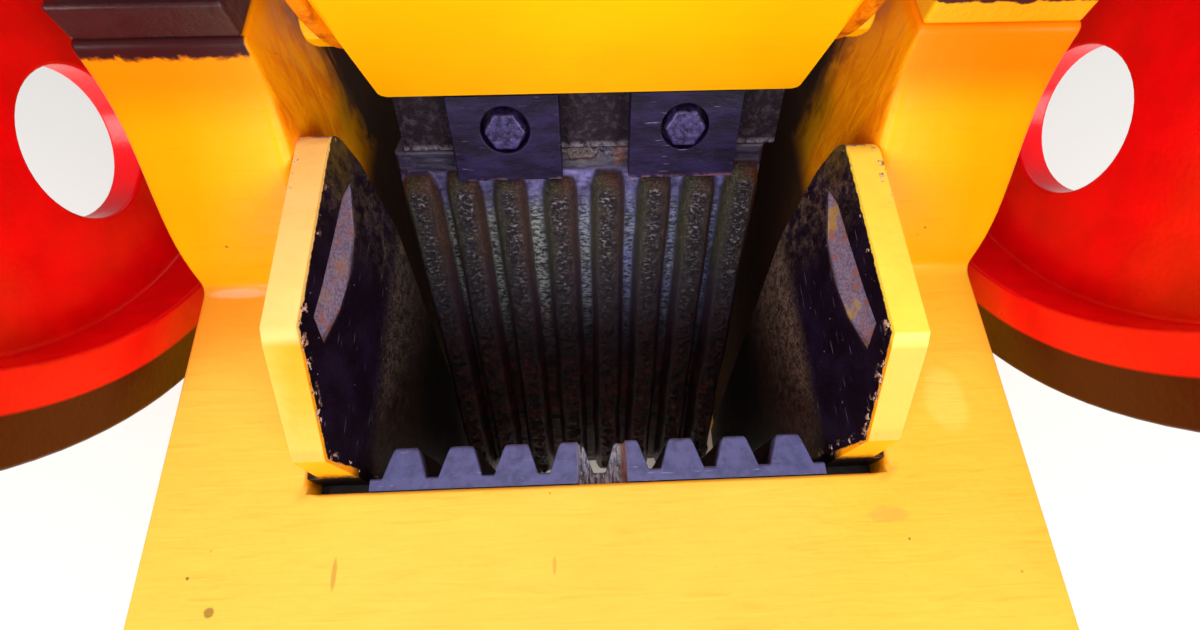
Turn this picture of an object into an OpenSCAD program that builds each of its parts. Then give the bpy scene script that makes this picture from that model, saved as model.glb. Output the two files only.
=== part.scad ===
// Small single toggle jaw crusher, whole, from the foundation up.
// X runs across the machine, Y from the feed side to the back and Z up.
// The origin is the middle of the foundation bolt pattern, on the floor.
// Profiles of the frame, the jaws and the swing jaw are drawn in Y and Z and carried across X.

/* [Frame] */
// Height of the feed deck above the floor
deck_h = 455; // [450:1:470]
// Room between the jaw plates and a side wall, which the cheek plate lines
wall_gap = 33.5; // [33:0.5:38]
// Thickness of a side wall
wall_t = 25; // [18:1:30]
// Width of the rim that runs along the top of a side wall
rim_w = 79.5; // [79:0.5:90]
// Thickness of the deck and of the rims
rim_t = 20; // [14:1:22]
// How far the deck reaches in front of the jaw pocket
deck_reach = 93; // [80:1:110]
// Thickness of the front wall
front_t = 30; // [20:1:34]
// Thickness of the rear wall
rear_t = 32; // [24:1:36]
// Height of the bearing seats above the deck
seat_rise = 128; // [120:1:140]
// Thickness of a bearing seat
seat_t = 25; // [18:1:30]
// Slope of the rim's face between deck and seat, as run over the whole rise
face_run = 62; // [50:1:64]
// Swell of that face, which makes it an S in side view
face_swell = 5; // [2:0.5:6]
// Thickness of the ribs outside the walls
rib_t = 14; // [10:1:18]
// Distance of the frame's back behind the shaft
rear_reach = 167; // [160:1:176]
// Drop of the rear wall's top below the shoulder of the rims
rear_wall_drop = 60; // [40:5:80]

/* [Feet] */
// Thickness of a foot
foot_t = 22; // [16:1:28]
// How far a foot reaches out past its bolts
foot_w = 27.5; // [24:0.5:30]
// How far a foot reaches past its front bolt
foot_end = 32; // [28:1:36]
// Bolt spacing along the machine
bolt_y = 380; // [340:1:400]
// Bolt spacing across the machine
bolt_x = 440; // [432:1:446]
// Diameter of the foundation bolt holes
bolt_hole_d = 22; // [14:1:26]

/* [Jaws] */
// Opening of the mouth at deck height, from crest to crest
gape = 155; // [150:1:160]
// Lean of the swing jaw from upright, in degrees
jaw_lean = 24.2; // [23:0.1:24.6]
// Width of the fixed jaw plate
fixed_jaw_w = 248; // [240:1:252]
// Width of the swing jaw plate
swing_jaw_w = 237; // [230:1:242]
// How far the swing jaw plate sits to the left of the middle
swing_jaw_off = 4.5; // [0:0.5:5]
// Length of the swing jaw plate
swing_jaw_l = 346; // [338:1:350]
// Distance from ridge to ridge
ridge_pitch = 30.3; // [29:0.1:31]
// Height of the ridges
ridge_h = 16; // [12:0.5:16]
// Width of a ridge across its crest
crest_w = 12.7; // [10:0.1:14]
// Width of a ridge across its root
root_w = 23.5; // [20:0.1:26]
// Thickness of a jaw plate behind its ridges
jaw_base_t = 20; // [16:1:22]
// Height of the swing jaw's top end above the deck
jaw_top = 29; // [26:1:34]
// Bare land above the ridges of the swing jaw
jaw_land = 15; // [12:1:20]
// Length over which a ridge of the swing jaw rounds off at its top
ridge_end = 9; // [6:1:12]
// Height of the jaw plates' lower end above the floor
jaw_foot_h = 140; // [138:1:150]
// Width of the handling notch in the fixed jaw's top end
notch_w = 27; // [20:1:30]
// Depth of that notch
notch_d = 8; // [4:1:12]

/* [Cheek plates] */
// Thickness of a cheek plate below the deck
cheek_t = 29; // [26:0.5:29.5]
// Thickness of a cheek plate along its top edge
cheek_top_t = 17; // [14:0.5:20]
// Height of a cheek plate's top edge above the deck
cheek_rise = 72; // [66:1:76]
// Length of the level part of the top edge
cheek_level = 118; // [90:1:120]
// Run of the sloped nose in front of the level part
cheek_nose = 55; // [50:1:60]
// Length of a cheek plate along its foot, from the pocket's front
cheek_foot_l = 86; // [80:1:90]
// Bevel of the nose's outer corner, seen from above
cheek_bevel = 7; // [4:1:8]
// Rounding of the upper corner at the back
cheek_round = 13; // [8:1:16]
// Depth of the scooped facet in the inner face
scoop_d = 6; // [4:0.5:7]
// Length of that facet
scoop_l = 100; // [90:1:104]
// Height of that facet
scoop_h = 28; // [22:1:30]

/* [Shaft and bearings] */
// Height of the shaft above the bearing seats
bearing_h = 60; // [58:1:70]
// Distance of the shaft behind the origin
shaft_y = 95; // [90:1:100]
// Throw of the eccentric
throw = 6; // [4:0.5:7]
// Diameter of the journals in the frame
journal_d = 60; // [50:1:66]
// Diameter of the eccentric in the swing jaw
eccentric_d = 90; // [84:1:96]
// Radial running clearance in the bearings
run_clear = 0.05; // [0.02:0.01:0.09]
// Radius of a bearing housing
housing_r = 56; // [52:1:57]
// Length of a bearing housing along the machine
housing_l = 168; // [160:1:170]
// Thickness of the housing's foot and cap flanges
housing_foot_t = 18; // [14:1:22]

/* [Wheels] */
// Radius of the flywheel and of the pulley
wheel_r = 292; // [280:1:300]
// Gap between a rim's outer edge and a wheel
wheel_x = 18; // [15:1:30]
// Width of a wheel's rim
wheel_w = 84; // [70:1:90]
// Depth of a wheel's rim
wheel_rim_t = 44; // [34:1:50]
// Thickness of a wheel's web
web_t = 18; // [14:1:24]
// Radius of a wheel's hub
hub_r = 66; // [58:1:72]
// Diameter of the shaft in the wheels
wheel_seat_d = 52; // [46:1:56]
// Diameter of the holes in a wheel's web
web_hole_d = 84; // [60:1:88]
// Number of holes in a wheel's web
web_holes = 6; // [4:1:6]
// Number of belt grooves in the pulley
grooves = 3; // [2:1:4]

/* [Swing jaw body] */
// Width of the swing jaw's casting
body_w = 236; // [220:1:240]
// How far the casting sits to the right of the middle
body_off = 2; // [0:0.5:3]
// Rounding of the apron's lower corners
apron_corner = 5; // [3:0.5:8]
// Radius of its head
head_r = 98; // [92:1:102]
// Thickness of its plate behind the jaw plate
body_t = 26; // [20:1:32]
// Thickness of its long ribs
body_rib_t = 18; // [14:1:24]
// Thickness of the covers on its head
cover_t = 7; // [5:1:9]
// Width of a clamp plate
clamp_w = 66; // [56:1:72]
// Distance between the middles of the clamp plates
clamp_pitch = 108; // [100:1:114]
// How far the pair of clamp plates sits to the right of the middle
clamp_off = 4.5; // [0:0.5:8]
// Length of a clamp plate up the jaw
clamp_l = 55; // [48:1:56]
// Thickness of a clamp plate
clamp_t = 15; // [12:0.5:16]
// Depth of the counterbore in a clamp plate
clamp_sink = 9; // [7:0.5:10]
// Height of a clamp bolt's head
clamp_head = 12; // [9:0.5:13]
// Diameter of the round counterbore in a clamp plate
clamp_bore_d = 29; // [28:0.5:32]
// Width of a clamp bolt's head across its flats
clamp_bolt_af = 22; // [18:1:24]

/* [Toggle and tension rod] */
// Width of the toggle plate
toggle_w = 190; // [160:1:200]
// Thickness of the toggle plate
toggle_t = 20; // [16:1:24]
// Slope of the toggle plate, in degrees
toggle_slope = 12; // [8:0.5:14]
// Gap that lets the swing jaw's seat clear the toggle plate
toggle_gap = 11.5; // [11.5:0.5:14]
// Diameter of the tension rod
rod_d = 20; // [16:1:24]
// Drop of the tension rod below the swing jaw's toe
rod_h = 14; // [12:0.5:18]
// Outer diameter of the tension spring
spring_d = 58; // [54:1:62]
// Thickness of the spring's wire
spring_wire = 8; // [6:0.5:9]
// Length of the spring as fitted
spring_l = 92; // [80:1:110]
// Number of turns in the spring
spring_turns = 7; // [5:1:8]

/* [Hidden] */

round_fn = 96;
small_fn = 32;
eps = 1;
half_jaws = max(fixed_jaw_w / 2, swing_jaw_w / 2 + swing_jaw_off);
half_gap = half_jaws + wall_gap;
rim_out = half_gap + rim_w;
chamber_w = 2 * half_gap;
wheel_in = rim_out + wheel_x;
wall_out = half_gap + wall_t;
seat_z = deck_h + seat_rise;
shaft_z = seat_z + bearing_h;
seat_margin = 2;
seat_front = shaft_y - housing_l / 2 - seat_margin;
seat_back = shaft_y + housing_l / 2 + seat_margin;
crease_y = seat_front - face_run;
face_steps = 16;
rear_y = shaft_y + rear_reach;
shoulder_drop = 25;
shoulder_z = deck_h - shoulder_drop;
under_deck = deck_h - rim_t;

// The fixed jaw stands upright; its valley floor is the reference for the mouth.
fixed_valley_y = -170;
fixed_crest_y = fixed_valley_y + ridge_h;
lip_back = 7;
fixed_jaw_back = jaw_base_t + 2;
lip_y = fixed_valley_y - lip_back;
pocket_y = fixed_valley_y - fixed_jaw_back;
front_y = pocket_y - front_t;
deck_front = lip_y - deck_reach;
lean_sin = sin(jaw_lean);
lean_cos = cos(jaw_lean);
crest_top = [fixed_crest_y + gape + jaw_top * lean_sin / lean_cos, deck_h + jaw_top];

// A point s down the swing jaw's crests from their top and t behind them.
function on_jaw(s, t) = [
    crest_top[0] - s * lean_sin + t * lean_cos,
    crest_top[1] - s * lean_cos - t * lean_sin
];

// The S of the rim's face: u runs from 0 at the deck to 1 at the bearing seat.
function rim_face(u) = [
    crease_y + face_run * u - face_swell * sin(360 * u),
    deck_h + seat_rise * u
];
function steps(from, to, count) = [for (i = [0 : count]) from + (to - from) * i / count];

head_c = [shaft_y, shaft_z - throw];
jaw_t = jaw_base_t + ridge_h;
body_back = jaw_t + body_t;
toe_gap = 2;
toe_s = swing_jaw_l + toe_gap;
toe_t = 24;
toe_l = 26;
apron_s = -44.5;
apron_t = -5;
apron_edge = on_jaw(apron_s, apron_t);
toe_low = on_jaw(toe_s + toe_l, body_back);
rod_z = toe_low[1] - rod_h;
rod_slot_r = rod_d / 2 + throw + 6;

// Carries a profile drawn in Y and Z across X, from x0 over a width w.
module across(x0, w) {
    translate([x0, 0, 0])
        rotate([90, 0, 90])
            linear_extrude(height = w)
                children();
}

// A round bar along X.
module bar(x0, w, c, r, fn = round_fn) {
    translate([x0, c[0], c[1]])
        rotate([0, 90, 0])
            cylinder(h = w, r = r, $fn = fn);
}

module on_left() {
    mirror([1, 0, 0])
        children();
}

// Frame

rim_shift = [18, -8];
under_end = (rim_shift[1] + seat_t) / seat_rise;
function under_face(u) = rim_face(u) + rim_shift;
under_path = concat(
    [[under_face(0)[0], under_deck]],
    [for (u = steps(0, 1 - under_end, face_steps)) under_face(u)],
    [[seat_back - rim_t * 0.45, seat_z - seat_t], [rear_y - rim_t, shoulder_z - rim_t * 0.27]]
);

module rim_profile() {
    polygon(concat(
        [[lip_y, under_deck], [lip_y, deck_h]],
        [for (u = steps(0, 1, face_steps)) rim_face(u)],
        [[seat_back, seat_z], [rear_y, shoulder_z], [rear_y, foot_t], [rear_y - rim_t, foot_t]],
        [for (i = [len(under_path) - 1 : -1 : 0]) under_path[i]]
    ));
}

module wall_profile() {
    polygon(concat(
        [[front_y, foot_t], [front_y, under_deck]],
        under_path,
        [[rear_y - rim_t, foot_t]]
    ));
}

module rim() {
    color("gold")
        across(half_gap, rim_w)
            rim_profile();
}

module side_wall() {
    color("gold")
        across(half_gap, wall_t)
            wall_profile();
}

module feed_deck() {
    color("gold")
        translate([-rim_out, deck_front, under_deck])
            cube([2 * rim_out, lip_y - deck_front, rim_t]);
}

front_wall_drop = 44;
front_wall_foot = jaw_foot_h - front_wall_drop;
module front_wall() {
    color("gold")
        translate([-half_gap, front_y, front_wall_foot])
            cube([chamber_w, front_t, under_deck - front_wall_foot]);
}

slot_margin = 14;
rear_wall_foot = rod_z + throw + rod_slot_r + slot_margin;
rear_wall_top = shoulder_z - rear_wall_drop;
rear_in = rear_y - rear_t;
shelf_t = 12;
shelf_w = 60;
shelf_lip = 6;
module rear_wall() {
    color("gold")
        difference() {
            union() {
                translate([-half_gap, rear_in, rear_wall_foot])
                    cube([chamber_w, rear_t, rear_wall_top - rear_wall_foot]);
                for (side = [-1, 1])
                    translate([side * screw_x - shelf_w / 2, rear_in - wedge_gap - shelf_lip, shelf_z])
                        cube([shelf_w, wedge_gap + shelf_lip + eps, shelf_t]);
            }
            for (side = [-1, 1])
                translate([side * screw_x, rear_in - wedge_gap / 2, shelf_z - eps])
                    cylinder(h = shelf_t + 2 * eps, d = screw_d + 1, $fn = small_fn);
        }
}

// Three upright ribs stand between foot and rim outside each wall.
rib_fore = 130;
rib_mid = 45;
rib_aft = 60;
rib_stations = [shaft_y - rib_fore, shaft_y - rib_mid, shaft_y + rib_aft];
rib_inset = 6;
rib_reach = rim_w - wall_t - rib_inset;
module wall_ribs() {
    color("gold")
        intersection() {
            across(wall_out, rib_reach)
                wall_profile();
            for (y = rib_stations)
                translate([wall_out - eps, y, 0])
                    cube([rib_reach + 2 * eps, rib_t, seat_z]);
        }
}

// Gussets carry the deck's overhang in front of the front wall.
gusset_stations = [-1.5, -0.5, 0.5, 1.5];
gusset_step = half_gap / 1.7;
gusset_drop = 210;
gusset_inset = 12;
gusset_lip = 22;
module deck_gussets() {
    color("gold")
        for (k = gusset_stations)
            across(k * gusset_step - rib_t / 2, rib_t)
                polygon([
                    [front_y, under_deck],
                    [deck_front + gusset_inset, under_deck],
                    [deck_front + gusset_inset, under_deck - gusset_lip],
                    [front_y, under_deck - gusset_drop]
                ]);
}

foot_front = -bolt_y / 2 - foot_end;
foot_side = bolt_x / 2 + foot_w;
foot_chamfer = 16;
module foot() {
    color("gold")
        difference() {
            linear_extrude(height = foot_t)
                polygon([
                    [half_gap, foot_front],
                    [foot_side - foot_chamfer, foot_front],
                    [foot_side, foot_front + foot_chamfer],
                    [foot_side, rear_y - foot_chamfer],
                    [foot_side - foot_chamfer, rear_y],
                    [half_gap, rear_y]
                ]);
            for (side = [-1, 1])
                translate([bolt_x / 2, side * bolt_y / 2, -eps])
                    cylinder(h = foot_t + 2 * eps, d = bolt_hole_d, $fn = small_fn);
        }
}

// Jaws

// One row of trapezoid ridges over a width w, drawn in X and Y with the valley floor on y = 0.
module ridge_row(w, count, base) {
    points = [
        for (i = [0 : count - 1])
            for (p = [[-root_w / 2, 0], [-crest_w / 2, ridge_h], [crest_w / 2, ridge_h], [root_w / 2, 0]])
                [(i - (count - 1) / 2) * ridge_pitch + p[0], p[1]]
    ];
    polygon(concat([[-w / 2, -base], [-w / 2, 0]], points, [[w / 2, 0], [w / 2, -base]]));
}

ridges = 8;
notch_x = 1.5;
module fixed_jaw_plate() {
    color("slateblue")
        difference() {
            translate([0, fixed_valley_y, jaw_foot_h])
                linear_extrude(height = deck_h - jaw_foot_h)
                    ridge_row(fixed_jaw_w, ridges, fixed_jaw_back);
            translate([-fixed_jaw_w, lip_y - fixed_jaw_w, under_deck])
                cube([2 * fixed_jaw_w, fixed_jaw_w, rim_t + eps]);
            translate([notch_x - notch_w / 2, lip_y - eps, deck_h - notch_d])
                cube([notch_w, lip_back + ridge_h + 2 * eps, notch_d + eps]);
        }
}

// The swing jaw plate leans back; its crests are its front and a bare land lies above them.
module swing_jaw_plate() {
    color([0.2, 0.15, 0.27])
        translate([-swing_jaw_off, crest_top[0], crest_top[1]])
            rotate([-jaw_lean, 0, 0])
                difference() {
                    translate([0, jaw_t, -swing_jaw_l])
                        linear_extrude(height = swing_jaw_l)
                            mirror([0, 1])
                                translate([0, jaw_base_t])
                                    ridge_row(swing_jaw_w, ridges, jaw_base_t);
                    across(-swing_jaw_w, 2 * swing_jaw_w)
                        polygon(concat(
                            [[-eps, -jaw_land - ridge_end], [-eps, eps], [ridge_h, eps]],
                            [for (u = steps(0, 90, ridge_steps)) ridge_round(u)]
                        ));
                }
}

// The round of a ridge's top end: u runs from 0 at the land to 90 degrees at the crest.
ridge_steps = 6;
function ridge_round(u) = [
    ridge_h * (1 - sin(u)),
    -jaw_land - ridge_end * (1 - cos(u))
];

// Cheek plates line the side walls; their inner faces slope in from a thin top edge.
cheek_top = deck_h + cheek_rise;
cheek_front = fixed_valley_y;
cheek_step = 9;
cheek_lip = 4;
cheek_lip_h = 33;
cheek_tail_h = 32;
cheek_foot_back = cheek_front + cheek_foot_l;
function cheek_profile(knee, tail) = concat(
    [
        [pocket_y, jaw_foot_h],
        [pocket_y, under_deck],
        [cheek_front, under_deck],
        [cheek_front, deck_h - cheek_step],
        [cheek_front + cheek_lip, deck_h + cheek_lip_h],
        [knee, cheek_top]
    ],
    [
        for (a = steps(90, 0, round_steps))
            [tail, cheek_top] + cheek_round * [cos(a) - 1, sin(a) - 1]
    ],
    [[tail, cheek_top - cheek_tail_h], [cheek_foot_back, jaw_foot_h]]
);
round_steps = 5;
cheek_bend = deck_h - 12;
cheek_slope = (cheek_t - cheek_top_t) / (cheek_top - cheek_bend);
function cheek_face(z) = half_gap - cheek_t + cheek_slope * (z - cheek_bend);

knee_shift_left = 5;
knee_shift_right = -8;
tail_shift_right = -1;
cheek_knee_left = cheek_front + cheek_nose + knee_shift_left;
cheek_knee_right = cheek_front + cheek_nose + knee_shift_right;
cheek_tail_left = cheek_knee_left + cheek_level;
cheek_tail_right = cheek_knee_right + cheek_level + tail_shift_right;

// The pair was set by hand: knee and tail say where the level top edge starts and ends.
module cheek_plate(knee, tail) {
    color([0.16, 0.09, 0.2])
        difference() {
            intersection() {
                across(half_gap - cheek_t, cheek_t)
                    polygon(cheek_profile(knee, tail));
                cheek_section([
                    [half_gap, 0],
                    [half_gap - cheek_t, 0],
                    [half_gap - cheek_t, cheek_bend],
                    [cheek_face(cheek_top), cheek_top],
                    [half_gap, cheek_top]
                ]);
            }
            cheek_scoop(knee);
            translate([0, 0, deck_h])
                linear_extrude(height = cheek_rise + eps)
                    polygon([
                        [half_gap + eps, knee],
                        [half_gap + eps, cheek_front - eps],
                        [half_gap - cheek_bevel, cheek_front - eps]
                    ]);
        }
}

// Carries a section drawn in X and Z along the machine.
module cheek_section(points) {
    translate([0, rear_y, 0])
        rotate([90, 0, 0])
            linear_extrude(height = rear_y - front_y)
                polygon(points);
}

// A shallow scoop behind the knee: its floor leans back from the lower edge to a step along the upper one.
scoop_lift = 32;
scoop_z = deck_h + scoop_lift;
scoop_sill = 3;
scoop_outline = [
    [0, 0.57], [0.1, 1], [0.27, 0.9], [0.62, 0.77], [0.85, 0.7], [1, 0.5],
    [0.95, 0.4], [0.72, 0.07], [0.52, 0], [0.4, 0.07], [0.23, 0.2]
];
module cheek_scoop(knee) {
    intersection() {
        across(half_gap - 2 * cheek_t, 2 * cheek_t)
            polygon([for (p = scoop_outline) [knee + p[0] * scoop_l, scoop_z + p[1] * scoop_h]]);
        cheek_section([
            [cheek_face(scoop_z - scoop_sill), scoop_z - scoop_sill],
            [cheek_face(scoop_z + scoop_h) + scoop_d, scoop_z + scoop_h],
            [half_gap - 2 * cheek_t, scoop_z + scoop_h],
            [half_gap - 2 * cheek_t, scoop_z - scoop_sill]
        ]);
    }
}

// Bearings of the shaft on the frame

housing_gap = 1;
housing_x = half_gap + housing_gap;
housing_w = rim_w - 2 * housing_gap;
housing_step = 8;
module bearing_base() {
    color([0.3, 0.12, 0.12])
        difference() {
            union() {
                translate([housing_x, shaft_y - housing_l / 2, seat_z])
                    cube([housing_w, housing_l, housing_foot_t]);
                translate([housing_x, shaft_y - housing_l / 2 + housing_step, seat_z])
                    cube([housing_w, housing_l - 2 * housing_step, bearing_h]);
            }
            journal_hole();
        }
}

module journal_hole() {
    bar(housing_x - eps, housing_w + 2 * eps, [shaft_y, shaft_z], journal_d / 2 + run_clear);
}

module bearing_cap() {
    color([0.3, 0.12, 0.12])
        difference() {
            union() {
                intersection() {
                    bar(housing_x, housing_w, [shaft_y, shaft_z], housing_r + housing_step);
                    translate([housing_x, shaft_y - housing_l / 2, shaft_z])
                        cube([housing_w, housing_l, housing_l]);
                }
                translate([housing_x, shaft_y - housing_l / 2 + housing_step, shaft_z])
                    cube([housing_w, housing_l - 2 * housing_step, housing_foot_t]);
            }
            journal_hole();
        }
}

// Toggle gear

seat_bar_up = 52;
seat_bar_s = toe_s - seat_bar_up;
seat_bar_h = 48;
seat_bar_lap = 10;
seat_bar_w = toggle_w + 2 * seat_bar_lap;
seat_rise_t = 20;
seat_bar_t = body_back + seat_rise_t;
seat_bar_d = 26;
toggle_front = on_jaw(seat_bar_s, seat_bar_t + seat_bar_d);
toggle_dir = [cos(toggle_slope), sin(toggle_slope)];
toggle_tip = toggle_front + toggle_gap * toggle_dir;
seat_block_lap = 20;
seat_block_w = toggle_w + 2 * seat_block_lap;
block_front = 58;
heel_depth = 14;
seat_block_y = rear_in - block_front;
toggle_run = (seat_block_y + heel_depth - toggle_tip[0]) / toggle_dir[0];
toggle_heel = toggle_tip + toggle_run * toggle_dir;
toggle_nose = toggle_t / 2;
toggle_waist = 1.5;
toggle_side = (toggle_nose - toggle_waist) * [-toggle_dir[1], toggle_dir[0]];

// The toggle plate rocks in its seats on two round noses, which are a little thicker than its web.
module toggle_plate() {
    color("dimgray") {
        bar(-toggle_w / 2, toggle_w, toggle_tip + toggle_nose * toggle_dir, toggle_nose);
        bar(-toggle_w / 2, toggle_w, toggle_heel - toggle_nose * toggle_dir, toggle_nose);
        across(-toggle_w / 2, toggle_w)
            polygon([
                toggle_tip + toggle_nose * toggle_dir + toggle_side,
                toggle_heel - toggle_nose * toggle_dir + toggle_side,
                toggle_heel - toggle_nose * toggle_dir - toggle_side,
                toggle_tip + toggle_nose * toggle_dir - toggle_side
            ]);
    }
}

// The seat block behind the toggle slides between the side walls and is held by wedges.
block_h = 74;
block_z = toggle_heel[1] - block_h / 2;
block_d = 34;
heel_side = 4;
heel_clear = 0.3;
module toggle_seat_block() {
    color("goldenrod")
        difference() {
            across(-seat_block_w / 2, seat_block_w)
                polygon([
                    [seat_block_y, block_z],
                    [seat_block_y, block_z + block_h],
                    [wedge_y, block_z + block_h],
                    [wedge_y + wedge_taper, block_z]
                ]);
            bar(
                -toggle_w / 2 - heel_side, toggle_w + 2 * heel_side,
                toggle_heel - toggle_nose * toggle_dir, toggle_nose + heel_clear
            );
            translate([-toggle_w / 2 - heel_side, seat_block_y - eps, toggle_heel[1] - 1.9 * toggle_nose])
                cube([toggle_w + 2 * heel_side, heel_side + eps, 3 * toggle_nose]);
        }
}

wedge_y = seat_block_y + block_d;
wedge_gap = rear_in - wedge_y;
wedge_w = 90;
wedge_taper = 8;
shelf_rise = 30;
shelf_z = block_z + block_h + shelf_rise;
module adjusting_wedges() {
    color("slategray")
        for (side = [-1, 1])
            across(side * screw_x - wedge_w / 2, wedge_w)
                polygon([
                    [wedge_y + wedge_taper, block_z],
                    [wedge_y, block_z + block_h],
                    [rear_in, block_z + block_h],
                    [rear_in, block_z]
                ]);
}

screw_d = 16;
screw_l = 70;
screw_x = seat_block_w / 4;
screw_nut_h = 13;
screw_nut_d = 1.6 * screw_d;
module adjusting_screws() {
    color("silver")
        for (side = [-1, 1])
            translate([side * screw_x, wedge_y + wedge_gap / 2, block_z + block_h]) {
                cylinder(h = screw_l, d = screw_d, $fn = small_fn);
                translate([0, 0, shelf_rise + shelf_t])
                    cylinder(h = screw_nut_h, d = screw_nut_d, $fn = 6);
            }
}

// Tension rod, its bracket and its spring

bracket_t = 16;
bracket_side = 16;
bracket_w = spring_d + 2 * bracket_side;
bracket_margin = 26;
bracket_lap = 70;
bracket_rib_t = 12;
bracket_rib_d = 40;
bracket_foot = rod_z + throw - rod_slot_r - bracket_margin;
bracket_top = rear_wall_foot + bracket_lap;
module rod_bracket() {
    color("gold")
        difference() {
            union() {
                translate([-bracket_w / 2, rear_y, bracket_foot])
                    cube([bracket_w, bracket_t, bracket_top - bracket_foot]);
                for (side = [-1, 1])
                    across((side * (bracket_w - bracket_rib_t) - bracket_rib_t) / 2, bracket_rib_t)
                        polygon([
                            [rear_y + bracket_t, bracket_top - eps],
                            [rear_y + bracket_t + bracket_rib_d, bracket_foot + bracket_rib_t],
                            [rear_y + bracket_t, bracket_foot + bracket_rib_t]
                        ]);
            }
            translate([0, rear_y - eps, rod_z + throw])
                rotate([-90, 0, 0])
                    cylinder(h = bracket_t + 2 * eps, r = rod_slot_r, $fn = 64);
        }
}

spring_y0 = rear_y + bracket_t;
spring_y1 = spring_y0 + spring_l;
spring_r = (spring_d - spring_wire) / 2;
spring_sides = 8;
spring_rings = 10;
wire_r = spring_wire / 2;
coil_count = spring_turns * spring_rings;
function coil_point(i, k) =
    let (
        turn = 360 * i / spring_rings,
        lift = wire_r + (spring_l - spring_wire) * i / coil_count,
        side = 360 * k / spring_sides,
        reach = spring_r + wire_r * cos(side)
    )
    [reach * cos(turn), reach * sin(turn), lift + wire_r * sin(side)];

module tension_spring() {
    points = [for (i = [0 : coil_count]) for (k = [0 : spring_sides - 1]) coil_point(i, k)];
    last = coil_count * spring_sides;
    sides = [
        for (i = [0 : coil_count - 1])
            for (k = [0 : spring_sides - 1])
                let (a = i * spring_sides + k, b = i * spring_sides + (k + 1) % spring_sides)
                [a, a + spring_sides, b + spring_sides, b]
    ];
    ends = [
        [for (k = [0 : spring_sides - 1]) k],
        [for (k = [spring_sides - 1 : -1 : 0]) last + k]
    ];
    color("firebrick")
        translate([0, spring_y0, rod_z + throw])
            rotate([-90, 0, 0])
                polyhedron(points = points, faces = concat(sides, ends), convexity = 8);
}

rod_eye_w = rod_d + 6;
rod_pin_d = rod_d - 4;
rod_lug_t = 12;
rod_pin_end = 6;
rod_eye_gap = 1.7;
rod_back = sqrt(pow(rod_d + rod_eye_gap, 2) - pow(rod_h, 2));
lug_point = toe_low + [rod_back, -rod_h];
rod_spare = 52;
rod_end = spring_y1 + throw + rod_spare;
module tension_rod() {
    color("dimgray")
        difference() {
            union() {
                translate([0, lug_point[0] + rod_d / 2, rod_z])
                    rotate([-90, 0, 0])
                        cylinder(h = rod_end - lug_point[0] - rod_d / 2, d = rod_d, $fn = 64);
                bar(-rod_eye_w / 2, rod_eye_w, lug_point, rod_d);
            }
            bar(-rod_d, 2 * rod_d, lug_point, rod_pin_d / 2 + pin_clear);
        }
}

pin_clear = 0.1;
pin_half = rod_eye_w / 2 + rod_lug_t + rod_pin_end;
module rod_pin() {
    color("silver")
        bar(-pin_half, 2 * pin_half, lug_point, rod_pin_d / 2, small_fn);
}

washer_t = 8;
washer_gap = 0.3;
rod_nut_h = 16;
rod_nut_d = 1.8 * rod_d;
module rod_nuts() {
    color("silver")
        translate([0, spring_y1 + washer_gap, rod_z])
            rotate([-90, 0, 0])
                difference() {
                    union() {
                        cylinder(h = washer_t, d = spring_d + washer_t, $fn = 64);
                        for (k = [0, 1])
                            translate([0, 0, washer_t + (rod_nut_h + eps) * k])
                                cylinder(h = rod_nut_h, d = rod_nut_d, $fn = 6);
                    }
                    translate([0, 0, -eps])
                        cylinder(h = washer_t + 2 * rod_nut_h + 4 * eps, d = rod_d + 0.02, $fn = 64);
                }
}

// Shaft and wheels

half_body = body_w / 2;
cover_lip = 3;
eccentric_half = half_body + body_off + cover_t + cover_lip;
collar_d = 72;
collar_gap = 4;
shaft_stub = 22;
shaft_end = wheel_in + wheel_w + shaft_stub;
module eccentric_shaft() {
    color("silver") {
        bar(-eccentric_half, 2 * eccentric_half, head_c, eccentric_d / 2);
        bar(-housing_x + collar_gap, 2 * (housing_x - collar_gap), [shaft_y, shaft_z], collar_d / 2);
        bar(-wheel_in, 2 * wheel_in, [shaft_y, shaft_z], journal_d / 2);
        bar(-shaft_end, 2 * shaft_end, [shaft_y, shaft_z], wheel_seat_d / 2);
    }
}

// A wheel turned about the shaft: rim, web and hub; groove_list cuts belt grooves.
module wheel_profile(groove_list) {
    difference() {
        union() {
            translate([wheel_r - wheel_rim_t, 0])
                square([wheel_rim_t, wheel_w]);
            translate([hub_r - eps, (wheel_w - web_t) / 2])
                square([wheel_r - wheel_rim_t - hub_r + 2 * eps, web_t]);
            translate([wheel_seat_d / 2, 0])
                square([hub_r - wheel_seat_d / 2, wheel_w]);
        }
        for (z = groove_list)
            translate([wheel_r, z])
                polygon([
                    [eps, -groove_top], [eps, groove_top],
                    [-groove_d, groove_foot], [-groove_d, -groove_foot]
                ]);
    }
}
groove_pitch = 21;
groove_d = 14;
groove_top = 8.7;
groove_foot = 5.5;

module wheel(groove_list) {
    translate([wheel_in, shaft_y, shaft_z])
        rotate([0, 90, 0])
            difference() {
                rotate_extrude($fn = round_fn)
                    wheel_profile(groove_list);
                for (i = [0 : web_holes - 1])
                    rotate([0, 0, (i + 0.5) * 360 / web_holes])
                        translate([(hub_r + wheel_r - wheel_rim_t) / 2, 0, -eps])
                            cylinder(h = wheel_w + 2 * eps, d = web_hole_d, $fn = small_fn);
            }
}

module flywheel() {
    color("red")
        on_left()
            wheel([]);
}

module belt_pulley() {
    color("red")
        wheel([for (i = [0 : grooves - 1]) wheel_w / 2 + (i - (grooves - 1) / 2) * groove_pitch]);
}

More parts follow.
